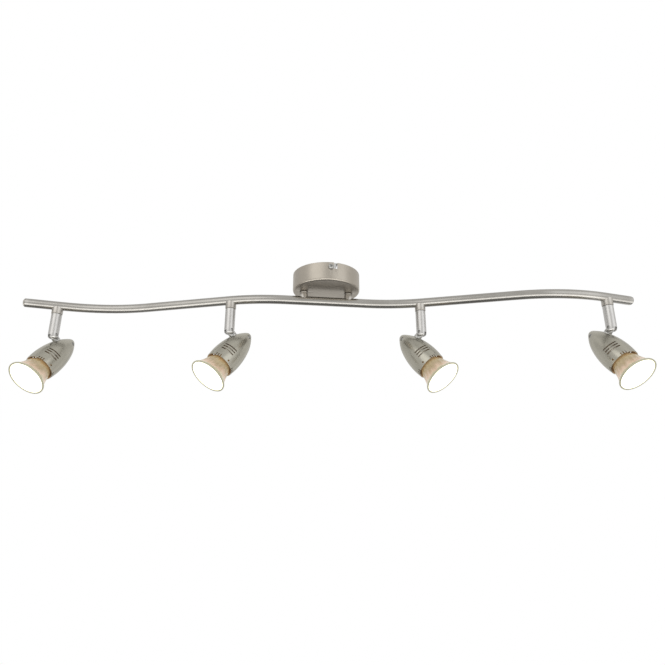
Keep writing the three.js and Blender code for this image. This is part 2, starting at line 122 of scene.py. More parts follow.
class Graph:
    """Thin helper for building one material's node tree."""

    def __init__(self, name: str) -> None:
        """Make an empty material with an output and a Principled shader.

        Args:
            name: Name of the material.
        """
        self.material = bpy.data.materials.new(name)
        self.material.use_nodes = True
        self.tree = self.material.node_tree
        self.shader = self.tree.nodes["Principled BSDF"]
        self.coordinates = self.node("ShaderNodeTexCoord")

    def node(self, kind: str, **settings: Any) -> Node:
        """Add a node and set its properties and inputs.

        Args:
            kind: Blender's node type name.
            settings: Property values, or input values when the name is an input's.

        Returns:
            The new node.
        """
        made = self.tree.nodes.new(kind)
        for key, value in settings.items():
            if hasattr(made, key):
                setattr(made, key, value)
            else:
                made.inputs[key.replace("_", " ")].default_value = value
        return made

    def link(self, source: NodeSocket, target: NodeSocket) -> None:
        """Join an output to an input."""
        self.tree.links.new(source, target)

    def noise(self, scale: Sequence[float], detail: float = 3.0, roughness: float = 0.55) -> NodeSocket:
        """Noise in the piece's own axes, stretched by a scale on each axis.

        Args:
            scale: Cells per metre along X, Y and Z.
            detail: Octaves of the noise.
            roughness: Weight of the fine octaves.

        Returns:
            The noise value's socket.
        """
        mapping = self.node("ShaderNodeMapping")
        mapping.inputs["Scale"].default_value = scale
        self.link(self.coordinates.outputs["Object"], mapping.inputs["Vector"])
        noise = self.node("ShaderNodeTexNoise", Scale=1.0, Detail=detail, Roughness=roughness)
        self.link(mapping.outputs["Vector"], noise.inputs["Vector"])
        return noise.outputs["Fac"]

    def ramp(self, source: NodeSocket, stops: Sequence[tuple[float, Colour]]) -> NodeSocket:
        """Map a value to colours.

        Args:
            source: The value's socket.
            stops: Positions and linear colours, in rising order.

        Returns:
            The colour's socket.
        """
        ramp = self.node("ShaderNodeValToRGB")
        elements = ramp.color_ramp.elements
        while len(elements) < len(stops):
            elements.new(0.5)
        for element, (position, colour) in zip(elements, stops):
            element.position = position
            element.color = (*colour, 1.0)
        self.link(source, ramp.inputs["Fac"])
        return ramp.outputs["Color"]

    def spread(self, source: NodeSocket, low: float, high: float) -> NodeSocket:
        """Map a value from 0..1 to low..high."""
        mapped = self.node("ShaderNodeMapRange", To_Min=low, To_Max=high)
        self.link(source, mapped.inputs["Value"])
        return mapped.outputs["Result"]

    def add(self, first: NodeSocket, second: NodeSocket) -> NodeSocket:
        """Sum of two values.

        Args:
            first: One value's socket.
            second: The other's.

        Returns:
            The sum's socket.
        """
        total = self.node("ShaderNodeMath", operation="ADD")
        self.link(first, total.inputs[0])
        self.link(second, total.inputs[1])
        return total.outputs[0]

    def along(self, low: float, high: float) -> NodeSocket:
        """Place along the piece's own Y axis, 0 at low and 1 at high.

        Args:
            low: Where it is 0.
            high: Where it is 1.

        Returns:
            The value's socket.
        """
        split = self.node("ShaderNodeSeparateXYZ")
        self.link(self.coordinates.outputs["Object"], split.inputs["Vector"])
        place = self.node("ShaderNodeMapRange", From_Min=low, From_Max=high)
        self.link(split.outputs["Y"], place.inputs["Value"])
        return place.outputs["Result"]

    def mix(self, factor: NodeSocket | float, first: Any, second: Any) -> NodeSocket:
        """Blend two colours, each a socket or a linear colour.

        Args:
            factor: Share of the second, a socket or a number.
            first: Colour at 0.
            second: Colour at 1.

        Returns:
            The blended colour's socket.
        """
        blend = self.node("ShaderNodeMix", data_type="RGBA")
        for index, value in ((0, factor), (6, first), (7, second)):
            if isinstance(value, NodeSocket):
                self.link(value, blend.inputs[index])
            else:
                blend.inputs[index].default_value = value if index == 0 else (*value, 1.0)
        return blend.outputs[2]

    def feed(self, source: NodeSocket, *inputs: str) -> None:
        """Join an output to the shader's inputs of these names."""
        for name in inputs:
            self.link(source, self.shader.inputs[name])

    def fix(self, **values: float) -> None:
        """Set values of the shader that are the same all over the piece."""
        for name, value in values.items():
            self.shader.inputs[name.replace("_", " ")].default_value = value

    def bump(self, source: NodeSocket, strength: float, distance: float) -> None:
        """Feed a height to the shader's normal.

        Args:
            source: The height's socket.
            strength: Share of the effect.
            distance: Height of the relief in metres.
        """
        bump = self.node("ShaderNodeBump", Strength=strength, Distance=distance)
        self.link(source, bump.inputs["Height"])
        self.link(bump.outputs["Normal"], self.shader.inputs["Normal"])


@dataclass(frozen=True)
class SatinMetal:
    """Plated or drawn metal with fine directional lines, faint blotches and a painted highlight along sharp
    edges.
    """

    name: str
    colour: Colour
    shade: Colour
    roughness: float
    grain: Grain
    line_depth: float = 0.10
    painted_edge_highlight: float = 0.25

    def material(self) -> Material:
        """Build the node material."""
        graph = Graph(self.name)
        lines = graph.noise(self.grain.value, detail=4.0, roughness=0.65)
        blotch = graph.noise((38.0, 38.0, 38.0), detail=4.0, roughness=0.6)
        smear = graph.noise((150.0, 150.0, 150.0), detail=2.0)
        tone = graph.mix(graph.spread(blotch, -0.35, 1.35), self.shade, self.colour)
        tone = graph.mix(graph.spread(lines, 0.0, 0.34), tone, tuple(0.72 * c for c in self.colour))
        # Painted highlight: the colour goes near white at sharp edges, found by the mesh's pointiness.
        geometry = graph.node("ShaderNodeNewGeometry")
        edge = graph.node("ShaderNodeMapRange", From_Min=0.52, From_Max=0.62, To_Max=self.painted_edge_highlight)
        graph.link(geometry.outputs["Pointiness"], edge.inputs["Value"])
        tone = graph.mix(edge.outputs["Result"], tone, (0.86, 0.85, 0.83))
        graph.feed(tone, "Base Color")
        polish = graph.spread(lines, self.roughness - 0.05, self.roughness + 0.06)
        graph.feed(graph.add(polish, graph.spread(smear, -0.035, 0.05)), "Roughness")
        graph.fix(Metallic=1.0)
        graph.bump(lines, self.line_depth, 0.02 * MM)
        return graph.material


@dataclass(frozen=True)
class Porcelain:
    """Unglazed or glazed insulating ceramic with a faint grain."""

    name: str
    colour: Colour
    roughness: float

    def material(self) -> Material:
        """Build the node material."""
        graph = Graph(self.name)
        grain = graph.noise((900.0, 900.0, 900.0), detail=3.0)
        stain = graph.noise((120.0, 120.0, 120.0), detail=4.0)
        tone = graph.mix(graph.spread(stain, -0.2, 1.0), self.colour, tuple(0.86 * c for c in self.colour))
        graph.feed(tone, "Base Color")
        graph.feed(graph.spread(grain, self.roughness - 0.08, self.roughness + 0.1), "Roughness")
        graph.bump(grain, 0.25, 0.05 * MM)
        return graph.material


@dataclass(frozen=True)
class CoatedReflector:
    """Coated glass of a lit reflector lamp: warm light leaks through, deeper towards the neck."""

    name: str
    neck_at: float
    rim_at: float
    glow: float

    def material(self) -> Material:
        """Build the node material."""
        graph = Graph(self.name)
        streaks = graph.spread(graph.noise((150.0, 24.0, 150.0), detail=4.0), -0.42, 0.42)
        tone = graph.ramp(graph.add(graph.along(self.neck_at, self.rim_at), streaks), [
            (0.00, (0.40, 0.27, 0.13)), (0.22, (0.34, 0.27, 0.155)), (0.45, (0.31, 0.24, 0.14)),
            (0.62, (0.40, 0.30, 0.20)), (0.82, (0.52, 0.38, 0.28)), (0.95, (0.46, 0.41, 0.28))])
        graph.feed(tone, "Base Color", "Emission Color")
        graph.fix(Emission_Strength=self.glow, Specular_IOR_Level=0.6, Coat_Weight=0.5, Coat_Roughness=0.08)
        ripple = graph.noise((500.0, 500.0, 500.0), detail=2.0)
        graph.feed(graph.spread(ripple, 0.16, 0.34), "Roughness")
        graph.bump(ripple, 0.15, 0.05 * MM)
        return graph.material


@dataclass(frozen=True)
class PaintedLampLightWall:
    """Inside of the shell: dull metal with painted lamp light, a warm emission at the mouth that fades to
    painted shade deep inside.
    """

    name: str
    painted_shade_at: float
    mouth_at: float
    glow: float

    def material(self) -> Material:
        """Build the node material."""
        graph = Graph(self.name)
        stain = graph.noise((160.0, 60.0, 160.0), detail=3.0)
        tone = graph.mix(graph.spread(stain, -0.2, 1.2), (0.40, 0.28, 0.16), (0.28, 0.21, 0.13))
        graph.feed(tone, "Base Color")
        # Painted lamp light: the emission colour is near black deep in the shell (painted shade) and warm
        # and bright towards the mouth.
        light = graph.ramp(graph.along(self.painted_shade_at, self.mouth_at), [
            (0.0, (0.02, 0.012, 0.006)), (0.55, (0.10, 0.06, 0.03)), (1.0, (0.44, 0.29, 0.15))])
        graph.feed(light, "Emission Color")
        graph.fix(Emission_Strength=self.glow, Metallic=0.6)
        graph.feed(graph.spread(stain, 0.38, 0.52), "Roughness")
        return graph.material


@dataclass(frozen=True)
class LitFace:
    """Front glass of a lit lamp: blinding in the middle, yellow green where the glass thickens."""

    name: str
    radius: float
    axis_drop: float
    strength: float

    def material(self) -> Material:
        """Build the node material."""
        graph = Graph(self.name)
        centre = graph.node("ShaderNodeVectorMath", operation="ADD")
        centre.inputs[1].default_value = (0.0, 0.0, self.axis_drop)
        graph.link(graph.coordinates.outputs["Object"], centre.inputs[0])
        flat = graph.node("ShaderNodeVectorMath", operation="MULTIPLY")
        flat.inputs[1].default_value = (1.0, 0.0, 1.0)
        graph.link(centre.outputs["Vector"], flat.inputs[0])
        reach = graph.node("ShaderNodeVectorMath", operation="LENGTH")
        graph.link(flat.outputs["Vector"], reach.inputs[0])
        out = graph.node("ShaderNodeMapRange", From_Max=self.radius)
        graph.link(reach.outputs["Value"], out.inputs["Value"])
        haze = graph.noise((90.0, 90.0, 90.0), detail=3.0)
        tone = graph.ramp(graph.add(out.outputs["Result"], graph.spread(haze, -0.05, 0.05)), [
            (0.0, (1.0, 1.0, 0.98)), (0.70, (1.0, 0.98, 0.90)), (0.86, (1.0, 0.96, 0.78)),
            (0.95, (0.86, 0.84, 0.60)), (1.0, (0.66, 0.66, 0.50))])
        graph.feed(tone, "Base Color", "Emission Color")
        graph.fix(Emission_Strength=self.strength)
        graph.feed(graph.spread(haze, 0.10, 0.22), "Roughness")
        graph.bump(haze, 0.06, 0.05 * MM)
        return graph.material


@dataclass(frozen=True)
class Moulding:
    """Moulded plastic with a fine leathery skin."""

    name: str
    colour: Colour
    roughness: float

    def material(self) -> Material:
        """Build the node material."""
        graph = Graph(self.name)
        skin = graph.noise((1400.0, 1400.0, 1400.0), detail=2.0)
        shade = graph.noise((60.0, 60.0, 60.0), detail=3.0)
        tone = graph.mix(graph.spread(shade, 0.0, 1.0), self.colour, tuple(0.9 * c for c in self.colour))
        graph.feed(tone, "Base Color")
        graph.feed(graph.spread(skin, self.roughness - 0.06, self.roughness + 0.08), "Roughness")
        graph.bump(skin, 0.2, 0.04 * MM)
        return graph.material


@dataclass(frozen=True)
class LampPlace:
    """Where one head's lamp lies in the axes of its tilt pin."""

    drop: float
    nose: float
    face: float
    rim_radius: float


class Finishes:
    """The materials of the object, made once and shared."""

    def __init__(self, lamp: LampPlace) -> None:
        """Make every finish.

        Args:
            lamp: Where the lamp lies, for the finishes that change along it.
        """
        self.canopy = SatinMetal("satin_nickel_turned", (0.46, 0.425, 0.375), (0.38, 0.35, 0.305), 0.36,
                                 Grain.TURNED_Z).material()
        self.bar = SatinMetal("satin_nickel_drawn", (0.42, 0.41, 0.39), (0.34, 0.33, 0.31), 0.25,
                              Grain.DRAWN_X).material()
        self.fitting = SatinMetal("satin_nickel_fittings", (0.45, 0.43, 0.40), (0.36, 0.34, 0.31), 0.32,
                                  Grain.TURNED_Z).material()
        self.housing = SatinMetal("satin_nickel_spun", (0.44, 0.425, 0.372), (0.36, 0.35, 0.30), 0.26,
                                  Grain.TURNED_Y, painted_edge_highlight=0.08).material()
        self.arm = SatinMetal("bright_satin_drawn", (0.57, 0.565, 0.555), (0.50, 0.495, 0.49), 0.33,
                              Grain.DRAWN_Z).material()
        self.link = SatinMetal("bright_satin_link", (0.58, 0.58, 0.57), (0.46, 0.46, 0.45), 0.27,
                               Grain.CAST).material()
        self.screw = SatinMetal("nickel_screw", (0.40, 0.40, 0.39), (0.30, 0.30, 0.29), 0.28,
                                Grain.CAST).material()
        self.zinc = SatinMetal("zinc_plate", (0.62, 0.63, 0.62), (0.50, 0.51, 0.52), 0.42,
                               Grain.CAST).material()
        self.ceramic = Porcelain("holder_ceramic", (0.80, 0.78, 0.72), 0.55).material()
        self.polymer = Moulding("terminal_polymer", (0.80, 0.79, 0.75), 0.45).material()
        self.reflector = CoatedReflector("coated_reflector", neck_at=lamp.face - 24 * MM,
                                         rim_at=lamp.face - 3 * MM, glow=0.32).material()
        # Inside of the shell: painted lamp light at the mouth, painted shade deep inside.
        self.inside = PaintedLampLightWall("shell_inside_painted_lamp_light", painted_shade_at=lamp.face - 41 * MM,
                                 mouth_at=lamp.face - 20 * MM, glow=0.8).material()
        self.face = LitFace("lit_front_glass", lamp.rim_radius, lamp.drop, strength=2.2).material()
        self.rim = Porcelain("glass_rim", (0.47, 0.46, 0.34), 0.2).material()


# ---- mesh making ---------------------------------------------------------------------------


@dataclass(frozen=True)
class Corner:
    """One corner of a turned outline: radius, height along the axis, and its rounding."""

    radius: float
    height: float
    rounding: float = 0.0


def rounded(corners: Sequence[Corner], closed: bool, steps: int = 4) -> Outline:
    """Replace every rounded corner of an outline by a short curve.

    Args:
        corners: The outline's corners in order.
        closed: Whether the last corner joins the first.
        steps: Segments in each curve.

    Returns:
        Points as (radius, height).
    """
    points: Outline = []
    count = len(corners)
    for i, corner in enumerate(corners):
        here = Vector((corner.radius, corner.height))
        if corner.rounding <= 0 or (not closed and i in (0, count - 1)):
            points.append(tuple(here))
            continue
        before = Vector((corners[i - 1].radius, corners[i - 1].height)) - here
        after = Vector((corners[(i + 1) % count].radius, corners[(i + 1) % count].height)) - here
        reach = min(corner.rounding, 0.48 * before.length, 0.48 * after.length)
        start, end = here + before.normalized() * reach, here + after.normalized() * reach
        for step in range(steps + 1):
            t = step / steps
            points.append(tuple(start * (1 - t) ** 2 + here * 2 * t * (1 - t) + end * t**2))
    return points


def flowing(points: Outline, per_span: int = 6) -> Outline:
    """Smooth curve through the points of an outline.

    Args:
        points: Points to pass through.
        per_span: New points in each span.

    Returns:
        The finer outline.
    """
    vectors = [Vector(p) for p in points]
    padded = [vectors[0] * 2 - vectors[1], *vectors, vectors[-1] * 2 - vectors[-2]]
    fine: Outline = []
    for p0, p1, p2, p3 in zip(padded, padded[1:], padded[2:], padded[3:]):
        knots = [0.0]
        for a, b in ((p0, p1), (p1, p2), (p2, p3)):
            knots.append(knots[-1] + max((b - a).length, 1e-9) ** 0.5)
        t0, t1, t2, t3 = knots
        for step in range(per_span):
            t = t1 + (t2 - t1) * step / per_span
            a1 = p0 * ((t1 - t) / (t1 - t0)) + p1 * ((t - t0) / (t1 - t0))
            a2 = p1 * ((t2 - t) / (t2 - t1)) + p2 * ((t - t1) / (t2 - t1))
            a3 = p2 * ((t3 - t) / (t3 - t2)) + p3 * ((t - t2) / (t3 - t2))
            b1 = a1 * ((t2 - t) / (t2 - t0)) + a2 * ((t - t0) / (t2 - t0))
            b2 = a2 * ((t3 - t) / (t3 - t1)) + a3 * ((t - t1) / (t3 - t1))
            fine.append(tuple(b1 * ((t2 - t) / (t2 - t1)) + b2 * ((t - t1) / (t2 - t1))))
    fine.append(tuple(vectors[-1]))
    return [(max(r, 0.0), h) for r, h in fine]


def inset(points: Outline, distance: float) -> Outline:
    """Outline moved towards the axis by a wall's thickness.

    Args:
        points: The outer outline as (radius, height).
        distance: Thickness of the wall.

    Returns:
        The inner outline.
    """
    moved: Outline = []
    for i, (radius, height) in enumerate(points):
        ahead, behind = points[min(i + 1, len(points) - 1)], points[max(i - 1, 0)]
        along = Vector((ahead[0] - behind[0], ahead[1] - behind[1])).normalized()
        moved.append((radius - along.y * distance, height + along.x * distance))
    return moved


def radius_at(points: Outline, height: float) -> float:
    """Radius of an outline at a height, between its points.

    Args:
        points: Outline as (radius, height), rising.
        height: The height.

    Returns:
        The radius; the last point's beyond the end.
    """
    for (r0, h0), (r1, h1) in zip(points, points[1:]):
        if h0 <= height <= h1:
            return r0 + (r1 - r0) * (height - h0) / max(h1 - h0, 1e-12)
    return points[-1][0]


class Shape:
    """A mesh in the making, in its own axes."""

    def __init__(self) -> None:
        """Start empty."""
        self.mesh = bmesh.new()

    def revolve(self, outline: Outline, steps: int, axis: str = "Z",
                swell: Callable[[float, float, float], float] | None = None) -> Shape:
        """Add a solid of revolution.

        Args:
            outline: Points as (radius, height); closed on itself unless both ends are on the axis.
            steps: Segments round the axis.
            axis: "X", "Y" or "Z".
            swell: Optional factor on the radius, from angle, radius and height.

        Returns:
            This shape.
        """
        rings: list[Ring] = []
        for radius, height in outline:
            if radius < 1e-7:
                rings.append([self.mesh.verts.new(self._on_axis(0.0, 0.0, height, axis))])
                continue
            ring = []
            for k in range(steps):
                angle = math.tau * k / steps
                reach = radius * (swell(angle, radius, height) if swell else 1.0)
                ring.append(self.mesh.verts.new(
                    self._on_axis(reach * math.cos(angle), reach * math.sin(angle), height, axis)))
            rings.append(ring)
        pairs = list(zip(rings, rings[1:]))
        if len(rings[0]) > 1 or len(rings[-1]) > 1:
            pairs.append((rings[-1], rings[0]))
        for low, high in pairs:
            self.bridge(low, high)
        return self

    @staticmethod
    def _on_axis(across: float, up: float, height: float, axis: str) -> Vector:
        """Point of a ring, for an axis of revolution."""
        return {"X": Vector((height, across, up)), "Y": Vector((across, height, up)),
                "Z": Vector((across, up, height))}[axis]

    def bridge(self, low: Ring, high: Ring) -> None:
        """Join two rings by faces.

        Args:
            low: First ring, or a single point.
            high: Second ring, or a single point.
        """
        steps = max(len(low), len(high))
        for k in range(steps if steps > 1 else 0):
            n = (k + 1) % steps
            corners = [low[k % len(low)], low[n % len(low)], high[n % len(high)], high[k % len(high)]]
            unique = list(dict.fromkeys(corners))
            if len(unique) > 2:
                self.mesh.faces.new(unique)

    def prism(self, low: Sequence[Vector], high: Sequence[Vector]) -> Shape:
        """Add a closed solid between two matching loops.

        Args:
            low: Corners of one end.
            high: Corners of the other end, in the same order.

        Returns:
            This shape.
        """
        bottom = [self.mesh.verts.new(p) for p in low]
        top = [self.mesh.verts.new(p) for p in high]
        self.bridge(bottom, top)
        self.mesh.faces.new(bottom)
        self.mesh.faces.new(top)
        return self

    def block(self, low: Sequence[float], high: Sequence[float], place: Matrix | None = None) -> Shape:
        """Add a box.

        Args:
            low: Its lowest corner.
            high: Its highest corner.
            place: Where it is then put.

        Returns:
            This shape.
        """
        place = place or Matrix.Identity(4)
        loop = [(low[0], low[1]), (high[0], low[1]), (high[0], high[1]), (low[0], high[1])]
        return self.prism([place @ Vector((x, y, low[2])) for x, y in loop],
                          [place @ Vector((x, y, high[2])) for x, y in loop])

    def rod(self, radius: float, low: float, high: float, place: Matrix, steps: int = 32) -> Shape:
        """Add a straight round rod.

        Args:
            radius: Its radius.
            low: Where it starts along Z.
            high: Where it ends along Z.
            place: Where it is then put.
            steps: Sides of its outline.

        Returns:
            This shape.
        """
        ring = [(radius * math.cos(math.tau * k / steps), radius * math.sin(math.tau * k / steps))
                for k in range(steps)]
        return self.prism([place @ Vector((x, y, low)) for x, y in ring],
                          [place @ Vector((x, y, high)) for x, y in ring])

    def reshape(self, move: Callable[[Vector], Vector]) -> Shape:
        """Move every vertex by a rule."""
        for vertex in self.mesh.verts:
            vertex.co = move(vertex.co)
        return self

    def build(self, name: str) -> Object:
        """Turn the shape into an object.

        Args:
            name: Name of the object.

        Returns:
            The object, linked to the scene.
        """
        bmesh.ops.recalc_face_normals(self.mesh, faces=self.mesh.faces)
        mesh = bpy.data.meshes.new(name)
        self.mesh.to_mesh(mesh)
        self.mesh.free()
        made = bpy.data.objects.new(name, mesh)
        bpy.context.scene.collection.objects.link(made)
        return made


def settle(piece: Object) -> Object:
    """Apply a piece's modifiers to its mesh.

    Args:
        piece: The object.

    Returns:
        The piece.
    """
    graph = bpy.context.evaluated_depsgraph_get()
    old = piece.data
    piece.data = bpy.data.meshes.new_from_object(piece.evaluated_get(graph))
    piece.modifiers.clear()
    bpy.data.meshes.remove(old)
    piece.data.name = piece.name
    return piece


def combine(piece: Object, tool: Object, operation: str,
            overlapping: bool = False) -> Object:
    """Cut a tool from a piece, or join it on, and drop the tool.

    Args:
        piece: The object to change.
        tool: The object to cut or join with.
        operation: "DIFFERENCE" or "UNION".
        overlapping: Whether the tool's own solids run through each other.

    Returns:
        The piece.
    """
    change = piece.modifiers.new("combine", "BOOLEAN")
    change.operation, change.object, change.solver = operation, tool, "EXACT"
    change.use_self = overlapping
    settle(piece)
    bpy.data.objects.remove(tool)
    return piece


def soften(piece: Object, width: float = 0.0, angle: float = 35.0, segments: int = 2) -> Object:
    """Round a piece's hard edges and shade it smooth between them.

    Args:
        piece: The object.
        width: Width of the rounding; 0 leaves the edges as they are.
        angle: Edges sharper than this are rounded, and stay crisp.
        segments: Faces across the rounding.

    Returns:
        The piece.
    """
    if width > 0:
        bevel = piece.modifiers.new("edges", "BEVEL")
        bevel.width, bevel.segments, bevel.limit_method = width, segments, "ANGLE"
        bevel.angle_limit, bevel.use_clamp_overlap = math.radians(angle), True
        settle(piece)
    mesh = piece.data
    mesh.polygons.foreach_set("use_smooth", [True] * len(mesh.polygons))
    mesh.set_sharp_from_angle(angle=math.radians(angle))
    return piece


def placed(mesh: Mesh, name: str, place: Matrix) -> Object:
    """Another object of a shared mesh.

    Args:
        mesh: The shared mesh.
        name: Name of the object.
        place: Where it stands.

    Returns:
        The object.
    """
    made = bpy.data.objects.new(name, mesh)
    bpy.context.scene.collection.objects.link(made)
    made.matrix_world = place
    return made


def hand_over(piece: Object, body: str, slot: str, nodes: Sequence[str],
              *materials: Material) -> Object:
    """Dress a piece, put it on its body, and hide the nodes that it replaces.

    Args:
        piece: The object.
        body: Body that it moves with.
        slot: Name of the record slot for its finish; not used.
        nodes: Nodes that it replaces.
        materials: Materials, in slot order; none keeps what its mesh has.

    Returns:
        The piece.
    """
    if materials:
        piece.data.materials.clear()
        for material in materials:
            piece.data.materials.append(material)
    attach(piece, body)
    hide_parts(*nodes)
    LOG.info("%s: %d faces on %s, for %s", piece.name, len(piece.data.polygons), body, ", ".join(nodes))
    return piece


def basis(x: Vector, y: Vector, z: Vector, origin: Vector) -> Matrix:
    """Frame from three axes and an origin."""
    rows = Matrix((x, y, z)).transposed().to_4x4()
    rows.translation = origin
    return rows


def own_box(node: Object, place: Matrix) -> tuple[Vector, Vector]:
    """Lowest and highest corner of a node in a frame's own axes.

    Args:
        node: The node's object.
        place: The frame.

    Returns:
        The two corners.
    """
    back = place.inverted()
    points = [back @ v.co for v in node.data.vertices]
    return (Vector([min(p[i] for p in points) for i in range(3)]),
            Vector([max(p[i] for p in points) for i in range(3)]))


# ---- bar -----------------------------------------------------------------------------------


@dataclass
class Bar:
    """The waved tube: straight runs and soft bends in one level plane."""

    finishes: Finishes
    bends: tuple[tuple[float, float], ...] = ((93 * MM, 12.4 * MM), (307 * MM, 36.5 * MM))
    end_y: float = 3.9 * MM
    bend_radius: float = 215 * MM
    bore: float = 4.9 * MM
    cap_length: float = 3.4 * MM
    cap_reach: float = 3.9 * MM
    plug: float = 7 * MM
    steps_round: int = 48
    level: float = field(init=False)
    radius: float = field(init=False)
    half: float = field(init=False)
    path: list[Vector] = field(init=False)

    def __post_init__(self) -> None:
        """Measure the tube in the frame and lay out its centreline."""
        low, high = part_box("bar_tube")
        self.level = (low.z + high.z) / 2
        self.radius = (high.z - low.z) / 2
        self.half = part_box("bar_cap_right")[1].x - self.cap_reach
        self.path = self._centreline()

    def _centreline(self) -> list[Vector]:
        """Points along the middle of the tube."""
        (x1, y1), (x2, y2) = self.bends
        corners = [Vector((x, y, self.level)) for x, y in (
            (-self.half, self.end_y), (-x2, y2), (-x1, -y1), (x1, y1), (x2, -y2), (self.half, -self.end_y))]
        points, start = [], corners[0]
        for before, corner, after in zip(corners, corners[1:], corners[2:]):
            back, on = (before - corner).normalized(), (after - corner).normalized()
            reach = self.bend_radius * math.tan((math.pi - back.angle(on)) / 2)
            enter, leave = corner + back * reach, corner + on * reach
            points += [start.lerp(enter, k / 8) for k in range(8)]
            for k in range(16):
                t = k / 16
                points.append(enter * (1 - t) ** 2 + corner * 2 * t * (1 - t) + leave * t**2)
            start = leave
        return points + [start.lerp(corners[-1], k / 8) for k in range(9)]

    def at(self, x: float) -> tuple[Vector, float]:
        """Centre of the tube at an X, and its heading in the plane.

        Args:
            x: Distance along the row's X axis.

        Returns:
            The point and the heading in radians.
        """
        for a, b in zip(self.path, self.path[1:]):
            if a.x <= x <= b.x:
                run = b - a
                return a + run * ((x - a.x) / run.x), math.atan2(run.y, run.x)
        end = self.path[-1] if x > 0 else self.path[0]
        run = self.path[-1] - self.path[-2] if x > 0 else self.path[1] - self.path[0]
        return end, math.atan2(run.y, run.x)

    def build(self) -> None:
        """Make the tube and its two end caps."""
        stations = []
        for i, point in enumerate(self.path):
            ahead, behind = self.path[min(i + 1, len(self.path) - 1)], self.path[max(i - 1, 0)]
            along = (ahead - behind).normalized()
            stations.append(basis(Vector((0, 0, 1)), along.cross(Vector((0, 0, 1))), along, point))
        ring = [math.tau * k / self.steps_round for k in range(self.steps_round)]
        shape = Shape()
        outer, inner = ([[shape.mesh.verts.new(m @ Vector((r * math.cos(a), r * math.sin(a), 0)))
                          for a in ring] for m in stations] for r in (self.radius, self.bore))
        for rings in (outer, inner):
            for low, high in zip(rings, rings[1:]):
                shape.bridge(low, high)
        shape.bridge(outer[0], inner[0])
        shape.bridge(outer[-1], inner[-1])
        tube = shape.build("bar")
        soften(tube, angle=40)
        hand_over(tube, "fixture", "nickel_bar", ["bar_tube"], self.finishes.bar)
        for side, label in ((-1, "left"), (1, "right")):
            self._cap(side, label)

    def _cap(self, side: int, label: str) -> None:
        """Make a domed end cap with a collar edge and a plug inside the tube.

        Args:
            side: 1 for the right end, -1 for the left.
            label: Name of that end.
        """
        r, length = self.radius, self.cap_length
        shape = Shape().revolve(rounded([
            Corner(0, length - 0.1 * MM), Corner(0.62 * r, length - 0.3 * MM, 1.2 * MM),
            Corner(0.93 * r, 0.45 * length, 1.6 * MM), Corner(r - 0.1 * MM, 0.9 * MM, 0.6 * MM),
            Corner(r - 0.1 * MM, 0.3 * MM, 0.1 * MM), Corner(0.76 * r, 0.3 * MM),
            Corner(0.76 * r, -self.plug, 0.4 * MM), Corner(0, -self.plug)], closed=False),
            self.steps_round, "Y")
        point, heading = self.at(side * self.half)
        turn = Matrix.Translation(point) @ Matrix.Rotation(heading - side * math.pi / 2, 4, "Z")
        cap = shape.reshape(lambda co: turn @ co).build(f"bar_end_{label}")
        soften(cap, angle=40)
        hand_over(cap, "fixture", "nickel_bar", [f"bar_cap_{label}"], self.finishes.fitting)

    def saddle(self, x: float, side: int, limit: float) -> Callable[[Vector], float]:
        """Height of the tube's skin under or over a point near x.

        Args:
            x: Where the fitting sits on the bar.
            side: 1 for the tube's top, -1 for its underside.
            limit: Closest that the edge comes to the tube's middle height.

        Returns:
            A rule from a point, measured from the bar's middle at x, to a height.
        """
        _, heading = self.at(x)
        across = Vector((-math.sin(heading), math.cos(heading), 0.0))

        def height(point: Vector) -> float:
            """Height of the skin at a point."""
            offset = point.dot(across)
            rise = math.sqrt(max(self.radius**2 - offset**2, limit**2))
            return self.level + side * (rise + 0.05 * MM)

        return height


# ---- canopy --------------------------------------------------------------------------------


